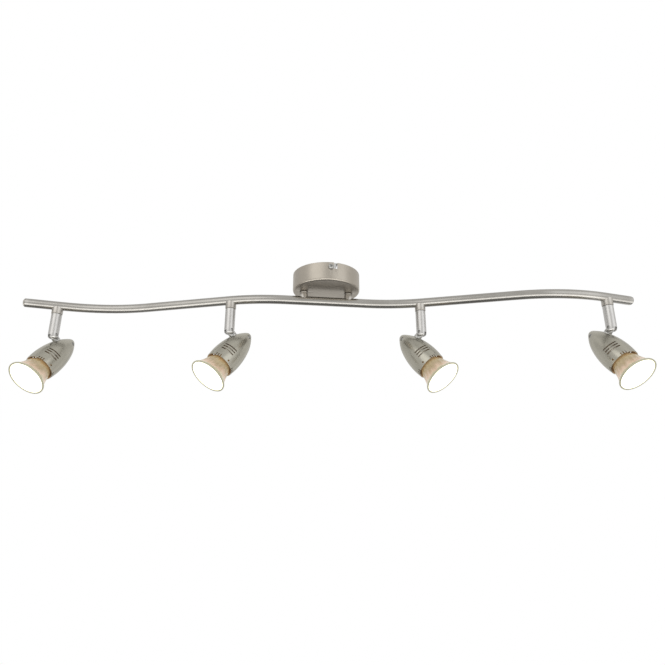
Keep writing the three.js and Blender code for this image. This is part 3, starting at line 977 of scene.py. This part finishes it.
@dataclass
class Canopy:
    """Cup at the ceiling, its screws, and the posts down to the bar."""

    finishes: Finishes
    bar: Bar
    wall: float = 1.2 * MM
    edge: float = 3.6 * MM
    notch_turn: float = math.radians(8)
    notch_width: float = 4.6 * MM
    hole: float = 3.3 * MM
    screw_reach: float = 0.3 * MM
    screw_head: float = 3.6 * MM
    screw_shank: float = 1.9 * MM

    def __post_init__(self) -> None:
        """Measure the cup and its screws in the frame."""
        low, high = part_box("canopy_cup")
        self.radius, self.top, self.bottom = (high.x - low.x) / 2, high.z, low.z
        low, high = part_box("cup_screw_front")
        middle = (low + high) / 2
        self.screw_angle, self.screw_z = math.atan2(middle.y, middle.x), middle.z

    def build(self) -> None:
        """Make the cup, screws and posts."""
        self._cup()
        for turn, label in ((0.0, "front"), (math.pi, "rear")):
            self._screw(turn, label)
        for label in ("left", "right"):
            self._post(label)

    def _cup(self) -> None:
        """Spun cup with a rolled lower edge and two bayonet notches."""
        r, w = self.radius, self.wall
        cup = Shape().revolve(rounded([
            Corner(0, self.bottom), Corner(r, self.bottom, self.edge), Corner(r, self.top, 0.3 * MM),
            Corner(r - w, self.top, 0.3 * MM), Corner(r - w, self.bottom + w, self.edge - w),
            Corner(0, self.bottom + w)], closed=False, steps=6), 144).build("canopy")
        tools = Shape()
        half = self.notch_width / 2
        for extra in (0.0, math.pi):
            turn = Matrix.Rotation(self.screw_angle + extra, 4, "Z")
            notch = turn @ Matrix.Rotation(self.notch_turn, 4, "Z")
            tools.block((r - 4 * MM, -half, self.screw_z - half), (r + 4 * MM, half, 1 * MM), notch)
            tools.block((r - 4 * MM, 0, self.screw_z - half + 0.01 * MM),
                        (r + 4 * MM, r * self.notch_turn, self.screw_z + half), turn)
            end = turn @ Matrix.Translation((0, 0, self.screw_z)) @ Matrix.Rotation(math.pi / 2, 4, "Y")
            tools.rod(half - 0.01 * MM, r - 4.1 * MM, r + 4.1 * MM, end, 24)
        for label in ("left", "right"):
            low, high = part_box(f"post_{label}")
            middle = (low + high) / 2
            tools.rod(self.hole, self.bottom - 2 * MM, self.bottom + 4 * MM,
                      Matrix.Translation((middle.x, middle.y, 0)), 32)
        combine(cup, tools.build("canopy_tools"), "DIFFERENCE", overlapping=True)
        soften(cup, width=0.12 * MM, angle=50)
        hand_over(cup, "fixture", "nickel_canopy", ["canopy_cup"], self.finishes.canopy)

    def _screw(self, turn: float, label: str) -> None:
        """Make a round-headed screw with a cross recess.

        Args:
            turn: Angle from the front screw, round the canopy.
            label: Name of the screw's side.
        """
        out = self.radius + self.screw_reach
        head, shank = self.screw_head, self.screw_shank
        screw = Shape().revolve(rounded([
            Corner(0, out + 2.4 * MM), Corner(2.5 * MM, out + 2.1 * MM, 1.2 * MM),
            Corner(head, out + 0.9 * MM, 0.8 * MM), Corner(head, out, 0.2 * MM), Corner(shank, out),
            Corner(shank, out - 7.4 * MM, 0.4 * MM), Corner(0, out - 8 * MM)], closed=False), 48, "X"
        ).build(f"cup_screw_{label}_piece")
        cross = Shape()
        for quarter in (0, 1):
            cross.block((out + 0.9 * MM, -0.45 * MM, -shank), (out + 4 * MM, 0.45 * MM, shank),
                        Matrix.Rotation(math.radians(20 + 90 * quarter), 4, "X"))
        combine(screw, cross.build("recess"), "DIFFERENCE", overlapping=True)
        soften(screw, width=0.08 * MM)
        screw.matrix_world = (Matrix.Rotation(self.screw_angle + turn, 4, "Z")
                              @ Matrix.Translation((0, 0, self.screw_z)))
        hand_over(screw, "fixture", "steel_screw", [f"cup_screw_{label}"], self.finishes.screw)

    def _post(self, label: str) -> None:
        """Make a spacer with a turned groove, shaped to sit on the tube, and its hollow stud.

        Args:
            label: Name of the post's side.
        """
        low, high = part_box(f"post_{label}")
        middle = (low + high) / 2
        radius = (high.x - low.x) / 2
        top = self.bottom - 0.3 * MM
        edge = self.bar.saddle(middle.x, 1, 0.0)
        foot = self.bar.level
        outline = rounded([
            Corner(1.9 * MM, high.z, 0.2 * MM), Corner(3 * MM, high.z, 0.4 * MM), Corner(3 * MM, top, 0.0),
            Corner(radius, top, 0.5 * MM), Corner(radius, top - 1.5 * MM, 0.2 * MM),
            Corner(radius - 0.5 * MM, top - 1.8 * MM, 0.2 * MM),
            Corner(radius - 0.5 * MM, top - 2.4 * MM, 0.2 * MM),
            Corner(radius, top - 2.7 * MM, 0.2 * MM), Corner(radius, foot),
            Corner(1.9 * MM, foot)], closed=True)

        def seat(co: Vector) -> Vector:
            """Post's vertex in place, its foot on the tube."""
            if co.z <= foot + 0.1 * MM:
                co = Vector((co.x, co.y, edge(Vector((co.x, co.y, 0)))))
            return co + Vector((middle.x, middle.y, 0))

        post = Shape().revolve(outline, 48).reshape(seat).build(f"post_{label}_piece")
        hand_over(soften(post, angle=40), "fixture", "nickel_bar", [f"post_{label}"], self.finishes.fitting)


# ---- heads ---------------------------------------------------------------------------------


@dataclass
class HeadSizes:
    """Sizes shared by the four heads; distances along the lamp axis count from the nose tip."""

    shell: tuple[tuple[float, float], ...] = (
        (0, 0), (0.3, 1.9), (1.1, 3.3), (2.6, 4.85), (5, 6.6), (8, 8.5), (12, 10.8), (17, 13.2),
        (23.5, 15.5), (30, 17.2), (36, 18.4), (42, 19.2), (50, 19.75), (58, 19.55), (65.3, 18.8))
    wall: float = 1.1 * MM
    vent_centres: tuple[float, ...] = (60, 180, 300)
    vent_stations: tuple[float, ...] = (44.5, 48.5, 52.5)
    vent_half: float = 28.0
    vent_width: float = 1.7 * MM
    notch_centres: tuple[float, ...] = (45, 135, 225, 315)
    notch_step: float = 9.0
    notch_width: float = 1.3 * MM
    notch_length: float = 3.4 * MM
    rivet_at: float = 9 * MM
    rivet_reach: float = 8.9 * MM
    rivet_head: float = 2.3 * MM
    slot_width: float = 5.0 * MM
    slot_top: float = -71.5 * MM
    web_at: float = 4.95 * MM
    web_above: float = 0.3 * MM
    link_thick: float = 4.4 * MM
    link_eye: float = 4.6 * MM
    boss: float = 4.8 * MM
    boss_top: float = -6.95 * MM
    pin: float = 1.8 * MM
    bead: float = 2.1 * MM
    bowl: tuple[tuple[float, float], ...] = (
        (1.5, 24.3), (2.4, 23.6), (4, 22.4), (8, 20.6), (13, 18.7), (19, 17.1), (24, 15.2), (29, 12.2),
        (33, 10.2))


class HeadParts:
    """Shared meshes of one head, made once in the axes of the tilt pin and of the arm."""

    def __init__(self, sizes: HeadSizes, finishes: Finishes, lamp: LampPlace) -> None:
        """Keep the sizes, finishes and lamp place, and lay out the shell's outline.

        Args:
            sizes: Sizes of the head.
            finishes: Materials.
            lamp: Where the lamp axis, nose and face lie.
        """
        self.sizes, self.finishes, self.lamp = sizes, finishes, lamp
        self.shell = flowing([(r * MM, lamp.nose + y * MM) for y, r in sizes.shell], 6)

    def _around(self, degrees: float, station: float) -> Matrix:
        """Frame whose Z points out of the lamp axis, at an angle from the top, at a place along it."""
        return (Matrix.Translation((0, self.lamp.nose + station, -self.lamp.drop))
                @ Matrix.Rotation(math.radians(degrees), 4, "Y"))

    def _vent(self, tools: Shape, centre: float, station: float) -> None:
        """Add a cutter for one slot that runs round the shell, with round ends.

        Args:
            tools: Shape that takes the cutter.
            centre: Angle of the slot's middle from the top, in degrees.
            station: Place along the shell from the nose, in millimetres.
        """
        s = self.sizes
        half, reach = s.vent_width / 2, math.radians(s.vent_half)
        end = half / (19.5 * MM)
        loop: list[tuple[float, float]] = []
        for k in range(17):
            loop.append((-reach + end + (2 * reach - 2 * end) * k / 16, half))
        for k in range(1, 8):
            a = math.pi / 2 - math.pi * k / 8
            loop.append((reach - end + end * math.cos(a), half * math.sin(a)))
        for k in range(17):
            loop.append((reach - end - (2 * reach - 2 * end) * k / 16, -half))
        for k in range(1, 8):
            a = -math.pi / 2 - math.pi * k / 8
            loop.append((-reach + end + end * math.cos(a), half * math.sin(a)))
        place = self._around(centre, station * MM)
        low, high = ([place @ Vector((r * math.sin(a), y, r * math.cos(a))) for a, y in loop]
                     for r in (15.5 * MM, 22 * MM))
        tools.prism(low, high)

    def housing(self) -> Mesh:
        """Spun bullet shell with vents, rim notches and small holes."""
        s, lamp = self.sizes, self.lamp
        outer = self.shell
        inner = [(r, h) for r, h in inset(outer, s.wall) if r > 0.9 * MM]
        rim = lamp.nose + s.shell[-1][0] * MM
        lip = rounded([Corner(*outer[-2]), Corner(outer[-1][0], rim, 0.3 * MM),
                       Corner(outer[-1][0] - s.wall, rim, 0.3 * MM), Corner(*inner[-3])], closed=False)
        outline = [*outer[:-1], *lip[1:-1], *reversed(inner[:-2]), (0.0, inner[0][1] - 0.1 * MM)]
        body = Shape().revolve(outline, 128, "Y").reshape(lambda co: co + Vector((0, 0, -lamp.drop)))
        shell = body.build("housing_mesh")
        tools = Shape()
        for centre in s.vent_centres:
            for station in s.vent_stations:
                self._vent(tools, centre, station)
        length = s.shell[-1][0] * MM
        for centre in s.notch_centres:
            for turn in (-s.notch_step, 0, s.notch_step):
                place = self._around(centre + turn, length)
                half, reach = s.notch_width / 2, s.notch_length - s.notch_width / 2
                loop = [(half, 3 * MM), (half, -reach)]
                loop += [(half * math.cos(a), -reach - half * math.sin(a))
                         for a in (math.pi * k / 8 for k in range(1, 8))]
                loop += [(-half, -reach), (-half, 3 * MM)]
                tools.prism([place @ Vector((x, y, 14 * MM)) for x, y in loop],
                            [place @ Vector((x, y, 22 * MM)) for x, y in loop])
        for angle in (90, 270):
            tools.rod(1.25 * MM, 14 * MM, 22 * MM, self._around(angle, length - 3.2 * MM), 24)
            tools.rod(2.6 * MM, 5 * MM, 14 * MM, self._around(angle, s.rivet_at), 32)
        combine(shell, tools.build("housing_tools"), "DIFFERENCE")
        soften(shell, width=0.14 * MM, angle=48)
        shell.data.materials.append(self.finishes.housing)
        shell.data.materials.append(self.finishes.inside)
        # Faces inside the wall take the second material, the one with painted lamp light.
        for polygon in shell.data.polygons:
            middle = polygon.center
            reach = math.hypot(middle.x, middle.z + lamp.drop)
            polygon.material_index = int(reach < radius_at(outer, middle.y) - 0.7 * s.wall)
        return self._take(shell)

    def rivet(self) -> Mesh:
        """Cross screw through the nose, with a recessed round head on each side."""
        s, lamp = self.sizes, self.lamp
        reach, head = s.rivet_reach, s.rivet_head
        half = [Corner(0, reach), Corner(1.5 * MM, reach - 0.2 * MM, 0.7 * MM),
                Corner(head, reach - 0.9 * MM, 0.5 * MM), Corner(head, reach - 1.6 * MM, 0.1 * MM),
                Corner(1.4 * MM, reach - 1.6 * MM)]
        corners = half + [Corner(c.radius, -c.height, c.rounding) for c in reversed(half)]
        screw = Shape().revolve(rounded(corners, closed=False), 32, "X").build("rivet_mesh")
        cross = Shape()
        for side in (-1, 1):
            for quarter in (0, 1):
                low, high = sorted((side * (reach - 0.8 * MM), side * (reach + 2 * MM)))
                cross.block((low, -0.35 * MM, -1.35 * MM), (high, 0.35 * MM, 1.35 * MM),
                            Matrix.Rotation(math.radians(35 + 90 * quarter), 4, "X"))
        combine(screw, cross.build("recess"), "DIFFERENCE", overlapping=True)
        soften(screw, width=0.05 * MM)
        screw.data.transform(Matrix.Translation((0, lamp.nose + s.rivet_at, -lamp.drop)))
        screw.data.materials.append(self.finishes.screw)
        return self._take(screw)

    def link(self) -> Mesh:
        """Flat eye on the tilt pin, running into a round stem whose foot sits on the shell."""
        s, lamp = self.sizes, self.lamp
        foot = -lamp.drop

        def surface(x: float, y: float) -> float:
            """Height just over the shell's skin."""
            return foot + math.sqrt(max(radius_at(self.shell, y) ** 2 - x**2, 0)) + 0.06 * MM

        turns = [math.pi * k / 24 for k in range(25)]
        eye = [(s.link_eye * math.cos(a), s.link_eye * math.sin(a)) for a in turns]
        eye += [(y, surface(s.link_thick / 2, y)) for y in (-s.link_eye, s.link_eye)]
        half = s.link_thick / 2
        blade = Shape().prism(*([Vector((x, y, z)) for y, z in eye] for x in (-half, half)))
        piece = soften(blade.build("link_mesh"), width=0.45 * MM, angle=50, segments=3)
        stem = rounded([
            Corner(0, s.boss_top), Corner(s.boss, s.boss_top, 0.6 * MM), Corner(s.boss, foot),
            Corner(0, foot)], closed=False)

        def seat(co: Vector) -> Vector:
            """Stem's vertex, its foot on the shell."""
            if co.z > foot + 0.1 * MM:
                return co
            return Vector((co.x, co.y, min(surface(co.x, co.y), s.boss_top - 0.7 * MM)))

        post = Shape().revolve(stem, 48).reshape(seat).build("link_stem")
        combine(piece, post, "UNION")
        hole = Shape().rod(s.pin + 0.15 * MM, -6 * MM, 6 * MM, Matrix.Rotation(math.pi / 2, 4, "Y"))
        combine(piece, hole.build("link_hole"), "DIFFERENCE")
        soften(piece, angle=38)
        piece.data.materials.append(self.finishes.link)
        return self._take(piece)

    def reflector(self) -> Mesh:
        """Coated bowl with shallow facets round it."""
        s, lamp = self.sizes, self.lamp
        outer = flowing([(r * MM, lamp.face - back * MM) for back, r in s.bowl], 5)
        inner = [(r - 1.1 * MM, h) for r, h in outer]
        facets = 18

        def swell(angle: float, _radius: float, height: float) -> float:
            """Factor that presses the facets in, fading out at the rim and the neck."""
            share = min(1.0, max(0.0, (lamp.face - 2.5 * MM - height) / (6 * MM)))
            tail = min(1.0, max(0.0, (height - lamp.face + 31 * MM) / (6 * MM)))
            return 1 - 0.014 * share * tail * (1 + math.cos(facets * angle + 220 * height))

        bowl = Shape().revolve([*outer, *reversed(inner)], 144, "Y", swell)
        piece = bowl.reshape(lambda co: co + Vector((0, 0, -lamp.drop))).build("reflector_mesh")
        soften(piece, angle=60)
        piece.data.materials.append(self.finishes.reflector)
        return self._take(piece)

    def rim(self) -> Mesh:
        """Clear glass bead that holds the front glass."""
        lamp = self.lamp
        r, face = lamp.rim_radius, lamp.face
        bore = r - self.sizes.bead
        outline = rounded([
            Corner(r - 1.1 * MM, face - 2.0 * MM, 0.2 * MM), Corner(r - 0.3 * MM, face - 1.9 * MM, 0.3 * MM),
            Corner(r, face - 1.2 * MM, 0.4 * MM), Corner(r, face, 0.6 * MM), Corner(bore, face, 0.6 * MM),
            Corner(bore, face - 1.7 * MM, 0.2 * MM)], closed=True)
        ring = Shape().revolve(outline, 128, "Y").reshape(lambda co: co + Vector((0, 0, -lamp.drop)))
        piece = soften(ring.build("rim_mesh"), angle=50)
        piece.data.materials.append(self.finishes.rim)
        return self._take(piece)

    def glass(self) -> Mesh:
        """Softly domed front glass."""
        lamp = self.lamp
        r, face = lamp.rim_radius - self.sizes.bead - 0.05 * MM, lamp.face
        outline = rounded([
            Corner(0, face - 0.2 * MM), Corner(0.8 * r, face - 0.3 * MM, 3 * MM),
            Corner(r, face - 0.6 * MM, 0.2 * MM), Corner(r, face - 1.4 * MM, 0.2 * MM),
            Corner(0, face - 1.4 * MM)], closed=False)
        disc = Shape().revolve(outline, 96, "Y").reshape(lambda co: co + Vector((0, 0, -lamp.drop)))
        piece = soften(disc.build("glass_mesh"), angle=50)
        piece.data.materials.append(self.finishes.face)
        return self._take(piece)

    def arm(self, top: float, bottom: float, radius: float, pivot: float) -> Mesh:
        """Round arm about Z whose rounded lower end is slotted for the link.

        Args:
            top: Height of the arm's top.
            bottom: Height of its lower end.
            radius: Its radius.
            pivot: Height of the tilt pin.

        Returns:
            The mesh.
        """
        s = self.sizes
        outline = rounded([
            Corner(0, bottom), Corner(radius - 2.2 * MM, bottom, 1.4 * MM),
            Corner(radius - 0.5 * MM, bottom + 1.9 * MM, 1.8 * MM),
            Corner(radius, bottom + 6 * MM, 2.4 * MM),
            Corner(radius, top, 0.5 * MM), Corner(3.2 * MM, top, 0.3 * MM), Corner(3.2 * MM, -59 * MM),
            Corner(0, -59 * MM)], closed=False, steps=5)
        piece = Shape().revolve(outline, 96).build("arm_mesh")
        half, past = s.slot_width / 2, 12 * MM
        below, step = bottom - 3 * MM, pivot - s.web_above
        profile = ((-past, below), (past, below), (past, step), (s.web_at, step), (s.web_at, s.slot_top),
                   (-past, s.slot_top))
        tools = Shape().prism(*([Vector((x, y, z)) for y, z in profile] for x in (-half, half)))
        tools.rod(s.pin + 0.1 * MM, -10 * MM, 10 * MM,
                  Matrix.Translation((0, 0, pivot)) @ Matrix.Rotation(math.pi / 2, 4, "Y"), 32)
        combine(piece, tools.build("arm_tools"), "DIFFERENCE", overlapping=True)
        soften(piece, width=0.3 * MM, angle=42, segments=3)
        piece.data.materials.append(self.finishes.arm)
        return self._take(piece)

    def tilt_pin(self, half: float, pivot: float) -> Mesh:
        """Pin across the slot with softly domed ends.

        Args:
            half: Half its length.
            pivot: Height of its axis.

        Returns:
            The mesh.
        """
        r = self.sizes.pin
        end = [Corner(0, half), Corner(r * 0.8, half - 0.1 * MM, 0.3 * MM), Corner(r, half - 0.5 * MM)]
        other = [Corner(c.radius, -c.height, c.rounding) for c in reversed(end)]
        pin = Shape().revolve(rounded(end + other, closed=False), 32, "X")
        pin = pin.reshape(lambda co: co + Vector((0, 0, pivot))).build("pin_mesh")
        soften(pin, angle=50)
        pin.data.materials.append(self.finishes.screw)
        return self._take(pin)

    @staticmethod
    def _take(piece: Object) -> Mesh:
        """Keep a piece's mesh and drop its object."""
        mesh = piece.data
        bpy.data.objects.remove(piece)
        return mesh


class HeadAxes:
    """Where one head's pin, arm and lamp lie, read from the frame."""

    def __init__(self, frame: dict[str, Any], mark: str) -> None:
        """Read the head's axes from its joints.

        Args:
            frame: The loaded frame.
            mark: Letter of the head.
        """
        joints = {joint["name"]: joint for joint in frame["joints"]}
        tilt, twist = joints[f"tilt_{mark}"], joints[f"lamp_twist_{mark}"]
        pin, along = Vector(tilt["axis"]).normalized(), Vector(twist["axis"]).normalized()
        ahead = Vector((0, 0, 1)).cross(pin)
        self.nodes, self.mark, self.pivot = frame["nodes"], mark, Vector(tilt["pos_m"])
        self.head = basis(pin, along, pin.cross(along), self.pivot)
        self.arm = basis(pin, ahead, Vector((0, 0, 1)), Vector((self.pivot.x, self.pivot.y, 0)))

    def box(self, node: str, place: Matrix) -> tuple[Vector, Vector]:
        """Lowest and highest corner of one of the head's nodes, in the head's or arm's axes."""
        return own_box(self.nodes[f"{node}_{self.mark}"], place)

    def lamp(self) -> LampPlace:
        """Measure the lamp in the head's own axes."""
        nose, _ = self.box("housing", self.head)
        low, high = self.box("lamp_reflector", self.head)
        return LampPlace(drop=-(low.z + high.z) / 2, nose=nose.y, face=high.y,
                         rim_radius=(high.z - low.z) / 2 - 0.25 * MM)


# Shared mesh, body that it rides on, finish slot, and node that it stands for.
HEAD_PIECES = (
    ("arm", "arm", "silver_arm", "arm"), ("tilt_pin", "arm", "steel_screw", "tilt_pin"),
    ("link", "head", "silver_arm", "tilt_link"), ("housing", "head", "nickel_housing", "housing"),
    ("rivet", "head", "steel_screw", "nose_rivet"),
    ("reflector", "lamp", "dichroic_glass", "lamp_reflector"),
    ("rim", "lamp", "dichroic_glass", "lamp_reflector"), ("glass", "lamp", "lit_glass", "lamp_glass"))


@dataclass
class Head:
    """One head on the bar: collar, arm, link, shell and lamp, placed by its joints."""

    axes: HeadAxes
    finishes: Finishes
    bar: Bar

    def build(self, parts: dict[str, Mesh]) -> None:
        """Make the collar and place the shared meshes.

        Args:
            parts: The shared meshes by name.
        """
        m = self.axes.mark
        self._collar()
        for name, body, slot, node in HEAD_PIECES:
            place = self.axes.arm if body == "arm" else self.axes.head
            hand_over(placed(parts[name], f"{name}_{m}_piece", place), f"{body}_{m}", slot, [f"{node}_{m}"])

    def _collar(self) -> None:
        """Collar that wraps the underside of the tube."""
        name = f"collar_{self.axes.mark}"
        low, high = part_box(name)
        middle, radius = (low + high) / 2, (high.x - low.x) / 2
        top, bottom = high.z, low.z
        edge = self.bar.saddle(middle.x, -1, self.bar.level - top)
        outline = rounded([
            Corner(3.4 * MM, bottom, 0.2 * MM), Corner(radius, bottom, 0.8 * MM),
            Corner(radius, top), Corner(4.8 * MM, top), Corner(4.8 * MM, bottom + 4 * MM),
            Corner(3.4 * MM, bottom + 4 * MM)], closed=True)

        def seat(co: Vector) -> Vector:
            """Collar's vertex in place, its top round the tube."""
            if co.z >= top - 0.05 * MM:
                co = Vector((co.x, co.y, edge(Vector((co.x, co.y, 0)))))
            return co + Vector((middle.x, middle.y, 0))

        collar = Shape().revolve(outline, 96).reshape(seat).build(f"{name}_piece")
        hand_over(soften(collar, angle=40), "fixture", "nickel_bar", [name], self.finishes.fitting)


# ---- kept nodes, stage and camera ----------------------------------------------------------


def dress_kept_nodes(frame: dict[str, Any], finishes: Finishes) -> None:
    """Give the fittings that stay as they are a finish and softened edges.

    Args:
        frame: The loaded frame.
        finishes: Materials.
    """
    kinds = {"ceiling_plate": finishes.zinc, "post_nut": finishes.zinc, "swivel_tube": finishes.zinc,
             "holder_bracket": finishes.zinc, "terminal_block": finishes.polymer,
             "lampholder": finishes.ceramic, "lamp_base": finishes.ceramic}
    for name, node in frame["nodes"].items():
        material = next((m for kind, m in kinds.items() if name.startswith(kind)), None)
        if material is None:
            continue
        node.data.materials.clear()
        node.data.materials.append(material)
        bevel = node.modifiers.new("edges", "BEVEL")
        bevel.width, bevel.segments, bevel.limit_method = 0.12 * MM, 2, "ANGLE"
        bevel.angle_limit = math.radians(30)
        LOG.info("%s: kept, in %s", name, material.name)


@dataclass(frozen=True)
class SoftLight:
    """Soft rectangular light that faces the object: its place, size, watts and linear colour."""

    name: str
    place: tuple[float, float, float]
    size: tuple[float, float]
    power: float
    colour: Colour

    def build(self, target: Vector) -> None:
        """Make the light.

        Args:
            target: Point that it faces.
        """
        data = bpy.data.lights.new(self.name, "AREA")
        data.shape, data.size, data.size_y = "RECTANGLE", *self.size
        data.energy, data.color = self.power, self.colour
        light = bpy.data.objects.new(self.name, data)
        light.location = self.place
        light.rotation_euler = (target - Vector(self.place)).to_track_quat("-Z", "Y").to_euler()
        light.visible_camera = False
        bpy.context.scene.collection.objects.link(light)


@dataclass
class Studio:
    """Pale floor, soft lights, a soft grey room for the metal to mirror, and the camera.

    The room's ramps give a quarter of its brightness by height, 0 straight down to 1 straight up.
    """

    low: Vector
    high: Vector
    floor_drop: float = 1.1
    floor_reach: float = 2.2
    lights: tuple[SoftLight, ...] = (
        SoftLight("key", (-0.9, -1.5, 0.7), (1.6, 1.6), 7.0, (1.0, 0.985, 0.96)),
        SoftLight("fill", (1.3, -1.2, 0.4), (1.4, 1.4), 4.0, (0.97, 0.985, 1.0)))
    ahead: Outline = field(default_factory=lambda: [
        (0.0, 0.06), (0.04, 0.08), (0.085, 0.50), (0.14, 1.0), (0.22, 0.50), (0.31, 0.24), (0.5, 0.22),
        (1.0, 0.22)])
    astern: Outline = field(default_factory=lambda: [
        (0.0, 0.06), (0.13, 0.065), (0.24, 0.19), (0.34, 0.23), (0.52, 0.22), (1.0, 0.22)])
    lens: float = 27.78
    eye: tuple[float, float, float] = (0.0086, -0.6464, -0.2860)
    look_up: float = 17.58

    def build(self) -> None:
        """Make floor, world, lights and camera."""
        self._floor()
        self._world()
        for light in self.lights:
            light.build((self.low + self.high) / 2)
        self._camera()
        bpy.context.scene.view_settings.view_transform = "Standard"

    def _floor(self) -> None:
        """Wide pale floor well under the object."""
        level, reach = self.low.z - self.floor_drop, self.floor_reach
        shape = Shape()
        shape.mesh.faces.new([shape.mesh.verts.new((x, y, level)) for x, y in (
            (-reach, -reach), (reach, -reach), (reach, reach), (-reach, reach))])
        floor = shape.build("floor")
        graph = Graph("pale_floor")
        speckle = graph.noise((40.0, 40.0, 40.0))
        graph.feed(graph.mix(speckle, (0.90, 0.90, 0.895), (0.92, 0.92, 0.92)), "Base Color")
        graph.fix(Roughness=0.9)
        floor.data.materials.append(graph.material)
        floor.visible_glossy = False
        floor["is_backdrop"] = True

    @staticmethod
    def _ramp(tree: NodeTree, height: NodeSocket,
              stops: Sequence[tuple[float, float]]) -> NodeSocket:
        """Brightness of the room by height.

        Args:
            tree: The world's node tree.
            height: Height of the direction, 0 below to 1 above.
            stops: Positions and quarter brightnesses, in rising order.

        Returns:
            The colour's socket.
        """
        ramp = tree.nodes.new("ShaderNodeValToRGB")
        tree.links.new(height, ramp.inputs["Fac"])
        elements = ramp.color_ramp.elements
        while len(elements) < len(stops):
            elements.new(0.5)
        for element, (position, value) in zip(elements, stops):
            element.position, element.color = position, (value, 0.985 * value, 0.955 * value, 1.0)
        return ramp.outputs["Color"]

    def _world(self) -> None:
        """White surroundings to look at, and a room to mirror: bright low ahead, dim below."""
        world = bpy.data.worlds.new("studio")
        bpy.context.scene.world = world
        world.use_nodes = True
        tree = world.node_tree
        tree.nodes.clear()

        def add(kind: str, **inputs: Any) -> Node:
            """Add a node.

            Args:
                kind: Blender's node type name.
                inputs: Values of its inputs.

            Returns:
                The new node.
            """
            made = tree.nodes.new(kind)
            for key, value in inputs.items():
                made.inputs[key.replace("_", " ")].default_value = value
            return made

        output = add("ShaderNodeOutputWorld")
        seen, mirrored = add("ShaderNodeBackground", Color=(1.0, 1.0, 1.0, 1.0)), add("ShaderNodeBackground")
        coordinates, split = add("ShaderNodeTexCoord"), add("ShaderNodeSeparateXYZ")
        tree.links.new(coordinates.outputs["Generated"], split.inputs["Vector"])
        height = add("ShaderNodeMapRange", From_Min=-1.0, From_Max=1.0)
        tree.links.new(split.outputs["Z"], height.inputs["Value"])
        ahead = self._ramp(tree, height.outputs["Result"], self.ahead)
        astern = self._ramp(tree, height.outputs["Result"], self.astern)
        behind = add("ShaderNodeMapRange", From_Min=-0.15, From_Max=0.15)
        tree.links.new(split.outputs["Y"], behind.inputs["Value"])
        room = tree.nodes.new("ShaderNodeMix")
        room.data_type = "RGBA"
        for source, index in ((behind.outputs["Result"], 0), (ahead, 6), (astern, 7)):
            tree.links.new(source, room.inputs[index])
        flat = add("ShaderNodeMapping", Scale=(2.2, 1.2, 0.25))
        tree.links.new(coordinates.outputs["Generated"], flat.inputs["Vector"])
        screens = add("ShaderNodeTexNoise", Scale=1.6, Detail=1.0)
        tree.links.new(flat.outputs["Vector"], screens.inputs["Vector"])
        uneven = add("ShaderNodeMapRange", From_Min=0.32, From_Max=0.68, To_Min=3.3, To_Max=4.5)
        tree.links.new(screens.outputs["Fac"], uneven.inputs["Value"])
        tree.links.new(room.outputs[2], mirrored.inputs["Color"])
        tree.links.new(uneven.outputs["Result"], mirrored.inputs["Strength"])
        rays, choose = add("ShaderNodeLightPath"), add("ShaderNodeMixShader")
        tree.links.new(rays.outputs["Is Camera Ray"], choose.inputs["Fac"])
        tree.links.new(mirrored.outputs["Background"], choose.inputs[1])
        tree.links.new(seen.outputs["Background"], choose.inputs[2])
        tree.links.new(choose.outputs["Shader"], output.inputs["Surface"])

    def _camera(self) -> None:
        """Camera below and in front of the object, looking up at it."""
        data = bpy.data.cameras.new("camera")
        data.lens, data.sensor_width = self.lens, 36.0
        data.clip_start, data.clip_end = 0.01, 100.0
        camera = bpy.data.objects.new("camera", data)
        camera.location = self.eye
        camera.rotation_euler = (math.radians(90 + self.look_up), 0.0, 0.0)
        bpy.context.scene.collection.objects.link(camera)
        bpy.context.scene.camera = camera


def main() -> None:
    """Build every piece in order, and set up the studio round the object's bounds."""
    logging.basicConfig(level=logging.INFO, format="%(name)s %(message)s")
    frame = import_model()
    low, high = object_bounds()
    marks = sorted(name.removeprefix("tilt_") for name in (j["name"] for j in frame["joints"])
                   if name.startswith("tilt_"))
    heads = [HeadAxes(frame, mark) for mark in marks]
    first, lamp = heads[0], heads[0].lamp()
    finishes = Finishes(lamp)
    bar = Bar(finishes)
    bar.build()
    Canopy(finishes, bar).build()
    maker = HeadParts(HeadSizes(), finishes, lamp)
    arm_low, arm_high = first.box("arm", first.arm)
    pin_low, pin_high = first.box("tilt_pin", first.arm)
    parts = {
        "arm": maker.arm(arm_high.z, arm_low.z, (arm_high.y - arm_low.y) / 2, first.pivot.z),
        "tilt_pin": maker.tilt_pin((pin_high.x - pin_low.x) / 2, first.pivot.z),
        "link": maker.link(), "housing": maker.housing(), "rivet": maker.rivet(),
        "reflector": maker.reflector(), "rim": maker.rim(), "glass": maker.glass()}
    for axes in heads:
        Head(axes, finishes, bar).build(parts)
    dress_kept_nodes(frame, finishes)
    Studio(low, high).build()


if __name__ == "__main__":
    main()
